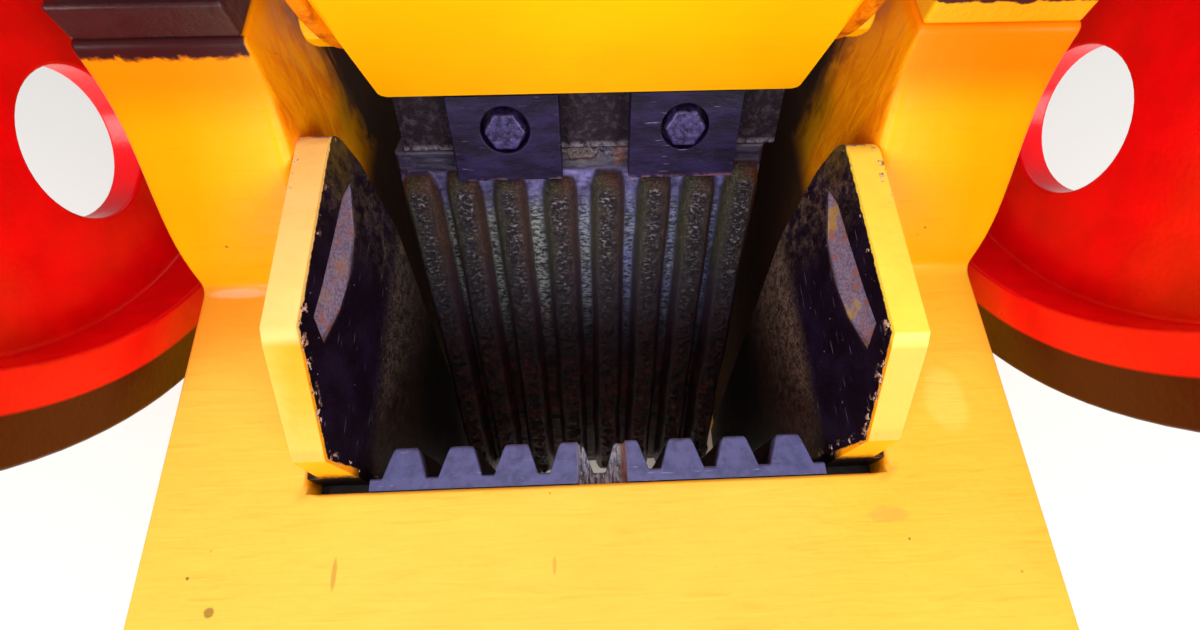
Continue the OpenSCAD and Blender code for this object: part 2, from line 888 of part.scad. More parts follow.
shaft_nut_t = 12;
shaft_nut_wall = 15;
module shaft_nut() {
    color("silver")
        difference() {
            bar(wheel_in + wheel_w, shaft_nut_t, [shaft_y, shaft_z], wheel_seat_d / 2 + shaft_nut_wall);
            bar(wheel_in, wheel_w + 2 * shaft_nut_t, [shaft_y, shaft_z], wheel_seat_d / 2);
        }
}

// Swing jaw

head_tan = apron_edge - head_c;
head_tan_d = norm(head_tan);
head_tan_a = atan2(head_tan[1], head_tan[0]) - acos(head_r / head_tan_d);
apron_touch = head_c + head_r * [cos(head_tan_a), sin(head_tan_a)];
apron_up = apron_touch - apron_edge;
seat_gap = 1;
throat_s = 60;
neck = 0.5 * head_r;
body_outline = [
    head_c,
    apron_touch,
    apron_edge,
    on_jaw(apron_s, ridge_h),
    on_jaw(-seat_gap, ridge_h),
    on_jaw(-seat_gap, jaw_t),
    on_jaw(toe_s, jaw_t),
    on_jaw(toe_s, toe_t),
    on_jaw(toe_s + 0.77 * toe_l, toe_t + 0.15 * toe_l),
    toe_low,
    on_jaw(throat_s, body_back),
    head_c + [neck, -neck]
];

body_lap = 2;
rib_end = 10;
rib_land = 4;
rib_haunch = 20;
rib_belly_s = 106;
rib_belly = 56;
rib_outline = [
    head_c + head_r * [0.8, -0.6],
    on_jaw(toe_s - rib_end, body_back - body_lap),
    on_jaw(toe_s - rib_end, seat_bar_t),
    on_jaw(seat_bar_s - seat_bar_h / 2 - rib_land, seat_bar_t),
    on_jaw(seat_bar_s - seat_bar_h / 2 - rib_land - rib_haunch, seat_bar_t + rib_haunch),
    on_jaw(rib_belly_s, body_back + rib_belly)
];

// The casting: a head round the eccentric, an apron over the mouth and a ribbed plate behind the jaw.
module swing_jaw_body() {
    color("orange")
        difference() {
            union() {
                translate([body_off, 0, 0]) {
                    bar(-half_body, body_w, head_c, head_r);
                    across(-half_body, body_w)
                        polygon(body_outline);
                    for (k = [-1, -1 / 3, 1 / 3, 1])
                        across(k * (half_body - body_rib_t / 2) - body_rib_t / 2, body_rib_t)
                            polygon(rib_outline);
                }
                for (side = [-1, 1])
                    rod_lug(side * (rod_eye_w / 2 + eps + rod_lug_t / 2));
            }
            for (side = [0, 1])
                translate([body_off, apron_edge[0], apron_edge[1]])
                    rotate([-atan2(apron_up[0], apron_up[1]), 0, 0])
                        mirror([side, 0, 0])
                            apron_corner_cut();
            bar(-half_body, body_w, lug_point, rod_pin_d / 2, small_fn);
            bar(-body_w, 2 * body_w, head_c, eccentric_d / 2 + run_clear);
        }
}

// What is left of a square corner outside its rounding.
module apron_corner_cut() {
    translate([half_body - apron_corner, 0, apron_corner])
        rotate([90, 0, 0])
            linear_extrude(height = 2 * (ridge_h - apron_t), center = true)
                difference() {
                    translate([0, -apron_corner - eps])
                        square(apron_corner + eps);
                    circle(r = apron_corner, $fn = small_fn);
                }
}

lug_root = 40;
module rod_lug(x) {
    bar(x - rod_lug_t / 2, rod_lug_t, lug_point, rod_d, small_fn);
    across(x - rod_lug_t / 2, rod_lug_t)
        polygon([
            lug_point + [-rod_d, 0],
            lug_point + [rod_d, 0],
            on_jaw(toe_s - lug_root, body_back + rod_pin_d),
            on_jaw(toe_s - lug_root, body_back - body_lap),
            on_jaw(toe_s + toe_l - rib_end, body_back - body_lap)
        ]);
}

module toggle_seat_bar() {
    color("slategray")
        across(-seat_bar_w / 2, seat_bar_w)
            polygon([
                on_jaw(seat_bar_s - seat_bar_h / 2, seat_bar_t),
                on_jaw(seat_bar_s + seat_bar_h / 2, seat_bar_t),
                on_jaw(seat_bar_s + seat_bar_h / 2, seat_bar_t + seat_bar_d),
                on_jaw(seat_bar_s - seat_bar_h / 2, seat_bar_t + seat_bar_d)
            ]);
}

cover_r = head_r + 4;
cover_boss_r = 76;
cover_bore = eccentric_d / 2 + 1;
module head_cover(x) {
    color("orange")
        difference() {
            union() {
                bar(x, cover_t, head_c, cover_r);
                bar(x, cover_t + cover_lip, head_c, cover_boss_r);
            }
            bar(x - eps, cover_t + cover_lip + 2 * eps, head_c, cover_bore);
        }
}

// Clamp plates hold the swing jaw's top land against the body.
clamp_front = ridge_h - clamp_t;
clamp_lap = jaw_land - 1.5;
clamp_bolt_s = 20;
module clamp_plate(x) {
    color([0.2, 0.15, 0.27])
        translate([x, crest_top[0], crest_top[1]])
            rotate([-jaw_lean, 0, 0])
                difference() {
                    translate([-clamp_w / 2, clamp_front, -clamp_lap])
                        cube([clamp_w, clamp_t, clamp_l]);
                    translate([0, clamp_front - eps, clamp_bolt_s])
                        rotate([-90, 0, 0])
                            cylinder(h = clamp_sink + eps, d = clamp_bore_d, $fn = 48);
                }
}

module clamp_bolt(x) {
    color([0.2, 0.15, 0.27])
        translate([x, crest_top[0], crest_top[1]])
            rotate([-jaw_lean, 0, 0])
                translate([0, clamp_front + clamp_sink - clamp_head, clamp_bolt_s])
                    rotate([-90, 0, 0])
                        cylinder(h = clamp_head, d = clamp_bolt_af / cos(30), $fn = 6);
}

front_wall();
rear_wall();
on_left() side_wall();  // side_wall_left
side_wall();  // side_wall_right
feed_deck();
on_left() rim();  // rim_left
rim();  // rim_right
on_left() wall_ribs();  // wall_ribs_left
wall_ribs();  // wall_ribs_right
deck_gussets();
on_left() foot();  // foot_left
foot();  // foot_right
fixed_jaw_plate();
on_left() cheek_plate(cheek_knee_left, cheek_tail_left);  // cheek_plate_left
cheek_plate(cheek_knee_right, cheek_tail_right);  // cheek_plate_right
on_left() bearing_base();  // bearing_base_left
bearing_base();  // bearing_base_right
on_left() bearing_cap();  // bearing_cap_left
bearing_cap();  // bearing_cap_right
toggle_seat_block();
adjusting_wedges();
adjusting_screws();
toggle_plate();
rod_bracket();
tension_spring();
eccentric_shaft();
flywheel();
belt_pulley();
on_left() shaft_nut();  // shaft_nut_left
shaft_nut();  // shaft_nut_right
swing_jaw_body();
swing_jaw_plate();
clamp_plate(clamp_off - clamp_pitch / 2);  // clamp_plate_left
clamp_plate(clamp_off + clamp_pitch / 2);  // clamp_plate_right
clamp_bolt(clamp_off - clamp_pitch / 2);  // clamp_bolt_left
clamp_bolt(clamp_off + clamp_pitch / 2);  // clamp_bolt_right
on_left() head_cover(half_body - body_off);  // head_cover_left
head_cover(half_body + body_off);  // head_cover_right
toggle_seat_bar();
rod_pin();
tension_rod();
rod_nuts();
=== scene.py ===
# A small jaw crusher, seen from the feed side and from above, down into its mouth.
# Lengths are in metres in the frame of the solids: X across, Y from feed to back, Z up.
import math

import bmesh
import bpy
import numpy as np
from mathutils import Matrix, Vector


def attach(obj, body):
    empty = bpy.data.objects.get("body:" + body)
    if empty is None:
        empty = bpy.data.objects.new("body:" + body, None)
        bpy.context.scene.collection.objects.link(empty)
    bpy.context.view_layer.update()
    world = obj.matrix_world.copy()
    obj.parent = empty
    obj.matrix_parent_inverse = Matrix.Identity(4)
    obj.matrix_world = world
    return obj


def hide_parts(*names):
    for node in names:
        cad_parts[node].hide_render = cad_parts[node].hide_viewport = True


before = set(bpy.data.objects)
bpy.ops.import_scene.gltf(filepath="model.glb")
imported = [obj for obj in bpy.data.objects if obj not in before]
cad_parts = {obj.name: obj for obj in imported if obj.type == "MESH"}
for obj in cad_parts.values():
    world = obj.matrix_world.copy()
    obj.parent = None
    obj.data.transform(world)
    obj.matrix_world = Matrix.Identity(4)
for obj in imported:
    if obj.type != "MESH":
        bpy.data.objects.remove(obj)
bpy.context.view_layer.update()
mm = 0.001


# The camera stands 33 cm above the feed deck and looks down into the mouth.
# Its place, its turn and its focal length were fitted to the known sizes of the jaws and the deck.
camera_place = Vector((-6.1 * mm, -220.6 * mm, 788.2 * mm))
camera_yaw = math.radians(3.99)
camera_pitch = math.radians(66.82)
camera_roll = math.radians(1.87)
picture_width = 1200
focal_pixels = 599.0
sensor_width = 36.0

ahead = Vector((
    math.sin(camera_yaw) * math.cos(camera_pitch),
    math.cos(camera_yaw) * math.cos(camera_pitch),
    -math.sin(camera_pitch),
))
level_right = Vector((math.cos(camera_yaw), -math.sin(camera_yaw), 0))
level_up = level_right.cross(ahead)
picture_right = math.cos(camera_roll) * level_right + math.sin(camera_roll) * level_up
picture_up = math.cos(camera_roll) * level_up - math.sin(camera_roll) * level_right
camera_data = bpy.data.cameras.new("camera")
camera_data.sensor_width = sensor_width
camera_data.sensor_fit = "HORIZONTAL"
camera_data.lens = focal_pixels / picture_width * sensor_width
camera_data.clip_start = 0.01
camera = bpy.data.objects.new("camera", camera_data)
camera.matrix_world = Matrix.Translation(camera_place) @ Matrix(
    (picture_right, picture_up, -ahead)
).transposed().to_4x4()
bpy.context.scene.collection.objects.link(camera)
bpy.context.scene.camera = camera


# The welded frame: front and rear wall, side walls, ribs, gussets, feet and the rod's bracket.
# They are cut from plate, welded, and painted together with thick yellow enamel by brush.
# Each piece is a copy of its solid; all but the side walls have their edges eased.
class Wire:
    """One socket of a finish. Sums, differences, products and powers of wires add Math nodes."""

    def __init__(self, finish, socket):
        self.finish = finish
        self.socket = socket

    def math(self, operation, other=0.0, swapped=False):
        first, second = (other, self) if swapped else (self, other)
        return self.finish.node("ShaderNodeMath", {"operation": operation}, {0: first, 1: second})

    def __add__(self, other):
        return self.math("ADD", other)

    def __sub__(self, other):
        return self.math("SUBTRACT", other)

    def __mul__(self, other):
        return self.math("MULTIPLY", other)

    def __rsub__(self, other):
        return self.math("SUBTRACT", other, True)

    def __pow__(self, other):
        return self.math("POWER", other)

    __radd__ = __add__
    __rmul__ = __mul__

    def least(self, other):
        return self.math("MINIMUM", other)

    def most(self, other):
        return self.math("MAXIMUM", other)

    def size(self):
        return self.math("ABSOLUTE")

    def rise(self, low, high):
        """0 below low, 1 above high, and a smooth step between; low may be the larger one."""
        return self.finish.node(
            "ShaderNodeMapRange", {"interpolation_type": "SMOOTHSTEP"},
            {"Value": self, "From Min": low, "From Max": high},
        )


class Finish:
    """A paint or a bare metal: one Principled shader and the nodes that vary it over a surface."""

    def __init__(self, name, **constants):
        self.material = bpy.data.materials.new(name)
        self.material.use_nodes = True
        self.tree = self.material.node_tree
        self.shader = self.tree.nodes["Principled BSDF"]
        for socket, value in constants.items():
            self.shader.inputs[socket.replace("_", " ")].default_value = value
        self.place = self.node("ShaderNodeTexCoord", output="Object")
        self.x = self.node("ShaderNodeSeparateXYZ", inputs={0: self.place}, output="X")
        self.y = self.node("ShaderNodeSeparateXYZ", inputs={0: self.place}, output="Y")
        self.z = self.node("ShaderNodeSeparateXYZ", inputs={0: self.place}, output="Z")

    def node(self, kind, settings=None, inputs=None, output=0):
        """Adds a node: its settings first, then the values or wires of its inputs."""
        made = self.tree.nodes.new(kind)
        for setting, value in (settings or {}).items():
            setattr(made, setting, value)
        for key, value in (inputs or {}).items():
            socket = made.inputs[key] if isinstance(key, int) else self.named(made.inputs, key)
            if isinstance(value, Wire):
                self.tree.links.new(value.socket, socket)
            else:
                socket.default_value = value
        chosen = made.outputs[output] if isinstance(output, int) else self.named(made.outputs, output)
        return Wire(self, chosen)

    def named(self, sockets, key):
        return next(socket for socket in sockets if key in (socket.identifier, socket.name))

    def stretched(self, along, factor, turn=(0, 0, 0)):
        """The place, squeezed so that a pattern on it is drawn out along one axis."""
        scale = [1.0, 1.0, 1.0]
        scale[along] = 1 / factor
        return self.node("ShaderNodeMapping", {}, {"Vector": self.place, "Rotation": turn, "Scale": scale})

    def noise(self, grain, detail=3.0, roughness=0.55, where=None, wander=0.0):
        """Fractal noise from 0 to 1 with a lump about every grain metres."""
        return self.node("ShaderNodeTexNoise", {}, {
            "Vector": where or self.place, "Scale": 1 / grain, "Detail": detail,
            "Roughness": roughness, "Distortion": wander,
        })

    def cells(self, grain, where=None):
        """Distance to the nearest of points scattered about every grain metres, in grains."""
        return self.node("ShaderNodeTexVoronoi", {}, {"Vector": where or self.place, "Scale": 1 / grain})

    def blend(self, mask, under, over):
        """The colour under where mask is 0, and the colour over where it is 1."""
        return self.node(
            "ShaderNodeMix", {"data_type": "RGBA"},
            {"Factor_Float": mask, "A_Color": under, "B_Color": over}, "Result_Color",
        )

    def relief(self, height, depth):
        """Raises the surface by height times depth metres, as bump."""
        bump = self.node("ShaderNodeBump", {}, {"Height": height, "Distance": depth}, "Normal")
        self.tree.links.new(bump.socket, self.shader.inputs["Normal"])

    def set(self, socket, wire):
        self.tree.links.new(wire.socket, self.shader.inputs[socket])

    def two_tone(self, mask, under, over):
        """Makes the base colour a blend of two."""
        self.set("Base Color", self.blend(mask, under, over))


def shade(red, green, blue):
    """A colour as a screen shows it, 0 to 255, turned into the linear one that a shader takes."""
    return tuple(
        value / 12.92 if value <= 0.04045 else ((value + 0.055) / 1.055) ** 2.4
        for value in (red / 255, green / 255, blue / 255)
    ) + (1.0,)


yellow = shade(252, 176, 2)
deep_yellow = shade(240, 146, 0)
lit_deck_yellow = shade(252, 193, 58)
drip_orange = shade(240, 132, 0)
shade_grime_black = shade(22, 9, 4)
edge_rust = shade(96, 52, 28)
maroon_paint = shade(58, 22, 24)
half_gap = 157.5 * mm
deck_h = 455 * mm
seat_z = 583 * mm


def wear_mark(paint, tone, place, reach, colour, strength):
    """Lays a soft oval of a colour, place in X and Y and reach in X and Y, over a tone."""
    across = (paint.x - place[0]) * (1 / reach[0])
    along = (paint.y - place[1]) * (1 / reach[1])
    ragged = paint.noise(reach[1] * 0.8, 3.0) * 0.9 + 0.55
    oval = ((across * across + along * along) * ragged).rise(1.0, 0.35)
    return paint.blend(oval * strength, tone, colour)


def frame_enamel():
    """Brushed enamel over the frame: paler on the deck, deep on the rims, orange with drips on the walls.
    The deck's paler tone and the rims' darker tops and lighter low parts are painted light and painted
    shade;
    near black grime and painted shade lie beside the swing jaw and in the corners of the pocket."""
    paint = Finish("frame_enamel", Specular_IOR_Level=0.2, Coat_Roughness=0.22)
    drift = paint.noise(95 * mm, 2.0)
    lumps = paint.noise(15 * mm, 2.0, 0.5)
    brush = paint.noise(5 * mm, 3.0, 0.55, paint.stretched(0, 9), 0.6)
    on_deck = paint.z.rise(deck_h + 6 * mm, deck_h + 1 * mm)
    on_deck = on_deck * paint.z.rise(deck_h - 8 * mm, deck_h - 4 * mm)
    # Painted shade: the top of each rim's S is darker orange, more so on the right; the low part of the S
    # is painted lighter.
    shaded_top = paint.z.rise(deck_h + 80 * mm, deck_h + 112 * mm)
    shaded_top = shaded_top * (paint.x.rise(-60 * mm, 60 * mm) * 0.2 + 0.7)
    rim_tones = shade(253, 186, 3), shade(254, 202, 6)
    tone = paint.blend(paint.z.rise(deck_h + 60 * mm, deck_h + 20 * mm), *rim_tones)
    tone = paint.blend(shaded_top, tone, shade(251, 128, 0))
    # Painted light: the deck, facing up, is paler than the rims. Beside the left rim it gets painted shade,
    # deeper orange, and beside the right rim painted light.
    deck_tone = paint.blend(drift.rise(0.3, 0.7), lit_deck_yellow, shade(253, 198, 66))
    deck_tone = paint.blend(paint.x.rise(-60 * mm, -170 * mm) * 0.5, deck_tone, shade(253, 207, 84))
    by_rim = paint.y.rise(-120 * mm, -64 * mm) * paint.x.rise(-half_gap, -half_gap - 60 * mm)
    deck_tone = paint.blend(by_rim * 0.7, deck_tone, shade(250, 170, 24))
    by_rim = paint.y.rise(-120 * mm, -64 * mm) * paint.x.rise(half_gap, half_gap + 40 * mm)
    deck_tone = paint.blend(by_rim * 0.6, deck_tone, shade(253, 222, 44))
    tone = paint.blend(on_deck, tone, deck_tone)
    tone = paint.blend(brush.rise(0.56, 0.78) * 0.25, tone, deep_yellow)
    specks = paint.cells(15 * mm).rise(0.07, 0.04) * paint.noise(34 * mm, 1.0).rise(0.54, 0.6)
    tone = paint.blend(specks * 0.75, tone, edge_rust)
    for mark in (
        ((-215 * mm, -57 * mm), (20 * mm, 3.5 * mm), shade(255, 214, 168), 0.6),
        ((152 * mm, -199 * mm), (13 * mm, 5 * mm), shade(246, 150, 70), 0.35),
        ((200 * mm, -138 * mm), (14 * mm, 22 * mm), shade(255, 214, 96), 0.6),
        ((-137 * mm, -217 * mm), (1.6 * mm, 9 * mm), shade(176, 134, 40), 0.6),
        ((-25 * mm, -217 * mm), (1.2 * mm, 5 * mm), shade(176, 134, 40), 0.5),
        ((-196 * mm, -232 * mm), (3 * mm, 3 * mm), shade(120, 88, 30), 0.7),
        ((-120 * mm, -262 * mm), (2.5 * mm, 2 * mm), shade(150, 90, 50), 0.7),
    ):
        tone = wear_mark(paint, tone, *mark)

    inner = paint.x.size().rise(half_gap + 2.4 * mm, half_gap + 0.2 * mm)
    inner = inner * paint.y.rise(lip_y, lip_y + 6 * mm) * paint.z.rise(seat_z - 1 * mm, seat_z - 9 * mm)
    runs = paint.noise(11 * mm, 3.0, 0.55, paint.stretched(2, 2.6, (0.2, 0, 0)), 1.2)
    wall_tone = paint.blend(runs.rise(0.36, 0.66), shade(254, 160, 2), drip_orange)
    near_seat = paint.z.rise(seat_z - 34 * mm, seat_z - 6 * mm)
    wall_tone = paint.blend(near_seat * 0.7, wall_tone, shade(252, 160, 2))
    olive = paint.y.rise(26 * mm, 60 * mm) * paint.z.rise(506 * mm, 478 * mm)
    wall_tone = paint.blend(olive * 0.75, wall_tone, shade(132, 98, 4))
    # Grime with painted shade: the wall goes near black back beside the swing jaw and below the deck.
    grime_and_shade = (paint.y + (runs - 0.5) * (30 * mm)).rise(50 * mm, 84 * mm)
    grime_and_shade = grime_and_shade.most(paint.z.rise(452 * mm, 416 * mm))
    wall_tone = paint.blend(grime_and_shade * 0.97, wall_tone, shade_grime_black)
    tone = paint.blend(inner, tone, wall_tone)

    housing_side = paint.x.rise(-half_gap - 0.5 * mm, -half_gap - 1.5 * mm)
    spill = (paint.z + (paint.noise(8 * mm, 4.0, 0.65) - 0.5) * (10 * mm)).rise(574 * mm, 577 * mm)
    tone = paint.blend(spill * housing_side * paint.y.rise(14 * mm, 12 * mm), tone, maroon_paint)
    paint.set("Base Color", tone)
    paint.set("Roughness", (brush.rise(0.3, 0.8) * 0.12 + lumps * 0.08 + 0.3).most(inner * grime_and_shade * 0.95))
    paint.set("Coat Weight", on_deck * 0.25 + inner * (grime_and_shade * -0.4 + 0.4))
    paint.relief(brush * 0.25 + lumps * 0.55 + runs * inner * (grime_and_shade * -1.1 + 1.3), 0.9 * mm)
    return paint.material


def plain_enamel():
    """The same enamel on the plates that stand below the top, with a little dirt toward the floor."""
    paint = Finish("plate_enamel", Specular_IOR_Level=0.35)
    strokes = paint.noise(6 * mm, 4.0, 0.6, paint.stretched(2, 8))
    drift = paint.noise(90 * mm, 2.0)
    tone = paint.blend(drift.rise(0.35, 0.7), yellow, shade(253, 186, 22))
    tone = paint.blend(strokes.rise(0.52, 0.8) * 0.3, tone, deep_yellow)
    low = (paint.z + (strokes - 0.5) * (90 * mm)).rise(110 * mm, 0)
    tone = paint.blend(low * 0.45, tone, shade(120, 84, 40))
    paint.set("Base Color", tone)
    paint.set("Roughness", strokes * 0.16 + 0.34)
    paint.relief(strokes * 0.6 + drift, 0.5 * mm)
    return paint.material


def shaded(shape, corner):
    """Smooth faces of an edited mesh, with a sharp edge wherever two of them meet at a corner."""
    bmesh.ops.remove_doubles(shape, verts=shape.verts, dist=0.003 * mm)
    for face in shape.faces:
        face.smooth = True
    for edge in shape.edges:
        edge.smooth = len(edge.link_faces) == 2 and edge.calc_face_angle() < math.radians(corner)


def placed(name, mesh, finish, body):
    """A mesh as an object in one finish that rides on a body."""
    mesh.materials.clear()
    mesh.materials.append(finish)
    piece = bpy.data.objects.new(name, mesh)
    bpy.context.scene.collection.objects.link(piece)
    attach(piece, body)
    return piece


def eased(node, width, finish, body, segments=2, corner=35):
    """A copy of a solid's mesh, its loose triangles joined into whole faces, with its edges rounded."""
    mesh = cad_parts[node].data.copy()
    shape = bmesh.new()
    shape.from_mesh(mesh)
    shaded(shape, corner)
    bmesh.ops.dissolve_limit(
        shape, angle_limit=math.radians(0.4), verts=shape.verts, edges=shape.edges, delimit={"NORMAL"}
    )
    shape.to_mesh(mesh)
    shape.free()
    piece = placed(node + "_finished", mesh, finish, body)
    if width:
        rounding = piece.modifiers.new("eased edges", "BEVEL")
        rounding.width = width
        rounding.segments = segments
        rounding.limit_method = "ANGLE"
        rounding.angle_limit = math.radians(corner)
        rounding.miter_outer = "MITER_ARC"
        rounding.harden_normals = True
    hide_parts(node)
    return piece


lip_y = -177 * mm
frame_paint = frame_enamel()
plate_paint = plain_enamel()
plate_edge = 1.6 * mm
for node in ("front_wall", "rear_wall", "wall_ribs_left", "wall_ribs_right", "deck_gussets",
             "foot_left", "foot_right", "rod_bracket"):
    eased(node, plate_edge, plate_paint, "frame")
for node in ("side_wall_left", "side_wall_right"):
    eased(node, 0, frame_paint, "frame")


# The top of the frame is one skin of 20 mm plate: the flat feed deck and the two rims behind it.
# The rims bend up in an S to the bearing seats and run down the back to the feet.
# It is one sheet of paint over the welds, with eased edges and slow waves.
rim_out = 237 * mm
deck_front = -270 * mm
crease_y = -53 * mm
seat_rise = 128 * mm
seat_front = 9 * mm
seat_back = 181 * mm
rear_y = 262 * mm
shoulder_z = 430 * mm
foot_t = 22 * mm
face_run = seat_front - crease_y
face_swell = 5 * mm
skin_t = 20 * mm
seat_t = 25 * mm
lap = 2.5 * mm
proud = 0.15 * mm
outer_round = 2 * mm
steady_reach = 24 * mm
wave_h = 0.35 * mm
wave_w = 38 * mm
wave_l = 30 * mm


def lumps(u, v, seed):
    """Smooth seeded lumps from -1 to 1, one for each unit of u and v: random heights on a lattice,
    blended between its corners with 3f^2 - 2f^3."""
    heights = np.random.default_rng(seed).uniform(-1, 1, (256, 256))
    column, row = np.floor(u).astype(int), np.floor(v).astype(int)
    across, along = u - column, v - row
    across, along = across**2 * (3 - 2 * across), along**2 * (3 - 2 * along)

    def corner(i, j):
        return heights[(column + i) % 256, (row + j) % 256]

    near = corner(0, 0) * (1 - across) + corner(1, 0) * across
    far = corner(0, 1) * (1 - across) + corner(1, 1) * across
    return near * (1 - along) + far * along


def sheet(points, keep=None):
    """An edited mesh over a grid of points, rows by columns, with a four-sided face for each kept cell.
    A face points along column direction times row direction."""
    rows, columns = points.shape[:2]
    index = np.arange(rows * columns).reshape(rows, columns)
    cells = np.stack([index[:-1, :-1], index[:-1, 1:], index[1:, 1:], index[1:, :-1]], axis=-1)
    cells = cells[keep] if keep is not None else cells.reshape(-1, 4)
    mesh = bpy.data.meshes.new("sheet")
    mesh.from_pydata(points.reshape(-1, 3).tolist(), [], cells.tolist())
    shape = bmesh.new()
    shape.from_mesh(mesh)
    bpy.data.meshes.remove(mesh)
    bmesh.ops.delete(shape, geom=[v for v in shape.verts if not v.link_faces], context="VERTS")
    return shape


def capped(points):
    """A grid whose first and last columns are closed loops, each loop drawn together to its middle."""
    first, last = points[:, :1], points[:, -1:]
    return np.concatenate([
        first.mean(0, keepdims=True) + 0 * first, points, last.mean(0, keepdims=True) + 0 * last,
    ], axis=1)


def finished_mesh(name, *shapes, corner=40):
    """One mesh out of edited meshes: their seams merged, their faces smooth between corners."""
    mesh = bpy.data.meshes.new(name)
    whole = bmesh.new()
    for shape in shapes:
        shape.to_mesh(mesh)
        whole.from_mesh(mesh)
        shape.free()
    shaded(whole, corner)
    bmesh.ops.dissolve_degenerate(whole, dist=0.002 * mm, edges=whole.edges)
    whole.to_mesh(mesh)
    whole.free()
    return mesh


def path_round(corners, step):
    """Points along a path of (y, z, cut) corners: each corner p gives way to the curve
    (1-t)^2 a + 2t(1-t) p + t^2 b between points a and b that lie a cut away, and runs are divided."""
    places = np.array(corners)[:, :2]
    points = [places[0]]
    for before, (y, z, cut), after in zip(places[:-2], corners[1:-1], places[2:]):
        here = np.array([y, z])
        a = here + (before - here) / np.hypot(*(before - here)) * cut
        b = here + (after - here) / np.hypot(*(after - here)) * cut
        t = np.linspace(0, 1, 6 if cut else 1)[:, None]
        points.extend((1 - t) ** 2 * a + 2 * t * (1 - t) * here + t**2 * b)
    points.append(places[-1])
    points = np.array(points)
    divided = [
        np.linspace(start, end, max(2, int(np.hypot(*(end - start)) / step) + 1))[:-1]
        for start, end in zip(points[:-1], points[1:])
    ]
    return np.concatenate(divided + [points[-1:]])


s_bend = [
    (crease_y + face_run * u - face_swell * math.sin(2 * math.pi * u), deck_h + seat_rise * u, 0)
    for u in np.linspace(0, 1, 17)[1:-1]
]
rim_path = path_round(
    [(lip_y, deck_h, 0), (crease_y, deck_h, 7 * mm)] + s_bend + [
        (seat_front, seat_z, 3.5 * mm), (seat_back, seat_z, 5 * mm),
        (rear_y, shoulder_z, 8 * mm), (rear_y, foot_t, 0),
    ],
    6 * mm,
)
run_y, run_z = rim_path[:, 0], rim_path[:, 1]
run_length = lip_y + np.concatenate([[0], np.cumsum(np.hypot(np.diff(run_y), np.diff(run_z)))])
tangent = np.stack([np.gradient(run_y, run_length), np.gradient(run_z, run_length)], axis=1)
normal = np.stack([-tangent[:, 1], tangent[:, 0]], axis=1)
normal /= np.linalg.norm(normal, axis=1)[:, None]
nearness = np.exp(-((run_length[:, None] - run_length[None, :]) / steady_reach) ** 2)
steady = nearness @ (normal * np.gradient(run_length)[:, None])
steady /= np.linalg.norm(steady, axis=1)[:, None]
on_seat = np.clip((run_z - seat_z + 14 * mm) / (10 * mm), 0, 1) * (run_y < seat_back + 5 * mm)
past_lip = np.clip((run_y - lip_y) / (3 * mm), 0, 1)
depth = (skin_t + (seat_t - skin_t) * on_seat + lap * past_lip) / np.clip((steady * normal).sum(1), 0.7, 1)
up_face = np.clip((run_z - deck_h) / seat_rise, 0, 1) * (run_y < seat_front + 4 * mm)
inner_round = 2.4 * mm * past_lip + 5 * mm * np.sin(np.pi * up_face) ** 0.7

quarter = np.linspace(0, np.pi / 2, 6)
top_x = np.linspace(0, 1, 13)
rim_w = rim_out - half_gap
rim_x = np.concatenate([
    half_gap + (rim_w - outer_round) * top_x, rim_out - outer_round + outer_round * np.sin(quarter[1:]),
])


def paint_wave(x, run):
    """Height of the enamel's slow waves at x across the frame and run along its skin."""
    return wave_h * lumps(x / wave_w + 60, run / wave_l + 60, 3)


def rim_grid(side):
    """The rim's tube: across each point of the path go the inner face, its rounding of radius r,
    the waved top, the outer rounding and the underside. The inner face stands proud of the wall,
    and the last row draws the tube together at the foot."""
    r = inner_round[:, None]
    offset = np.concatenate([
        0 * r, r * (1 - np.cos(quarter))[None, :],
        r + (rim_w - outer_round - r) * top_x[1:][None, :],
        rim_w - outer_round + outer_round * np.sin(quarter[1:])[None, :] + 0 * r,
        (rim_x - half_gap)[None, ::-1] + 0 * r,
    ], axis=1)
    offset = offset - proud * past_lip[:, None] * np.clip(1 - offset / (1 * mm), 0, 1)
    wave = paint_wave(side * (half_gap + offset), run_length[:, None])
    wave = wave * np.clip((rim_w - offset) / (8 * mm), 0, 1)
    drop = np.concatenate([
        0 * r - 1, -r * (1 - np.sin(quarter))[None, :], 0 * r * top_x[1:][None, :],
        outer_round * (np.cos(quarter[1:]) - 1)[None, :] + 0 * r, 0 * rim_x[None, :] + 0 * r - 1,
    ], axis=1)
    sunk = drop < -0.5
    surface = np.where(sunk, 0, drop + wave)
    y = run_y[:, None] + steady[:, :1] * np.where(sunk, -depth[:, None], surface)
    z = run_z[:, None] + steady[:, 1:] * np.where(sunk, -depth[:, None], surface)
    grid = np.stack([side * (half_gap + offset), y, z], axis=-1)
    grid = np.concatenate([grid, grid[-1:].mean(1, keepdims=True) + 0 * grid[-1:]])
    return grid[:, ::side]


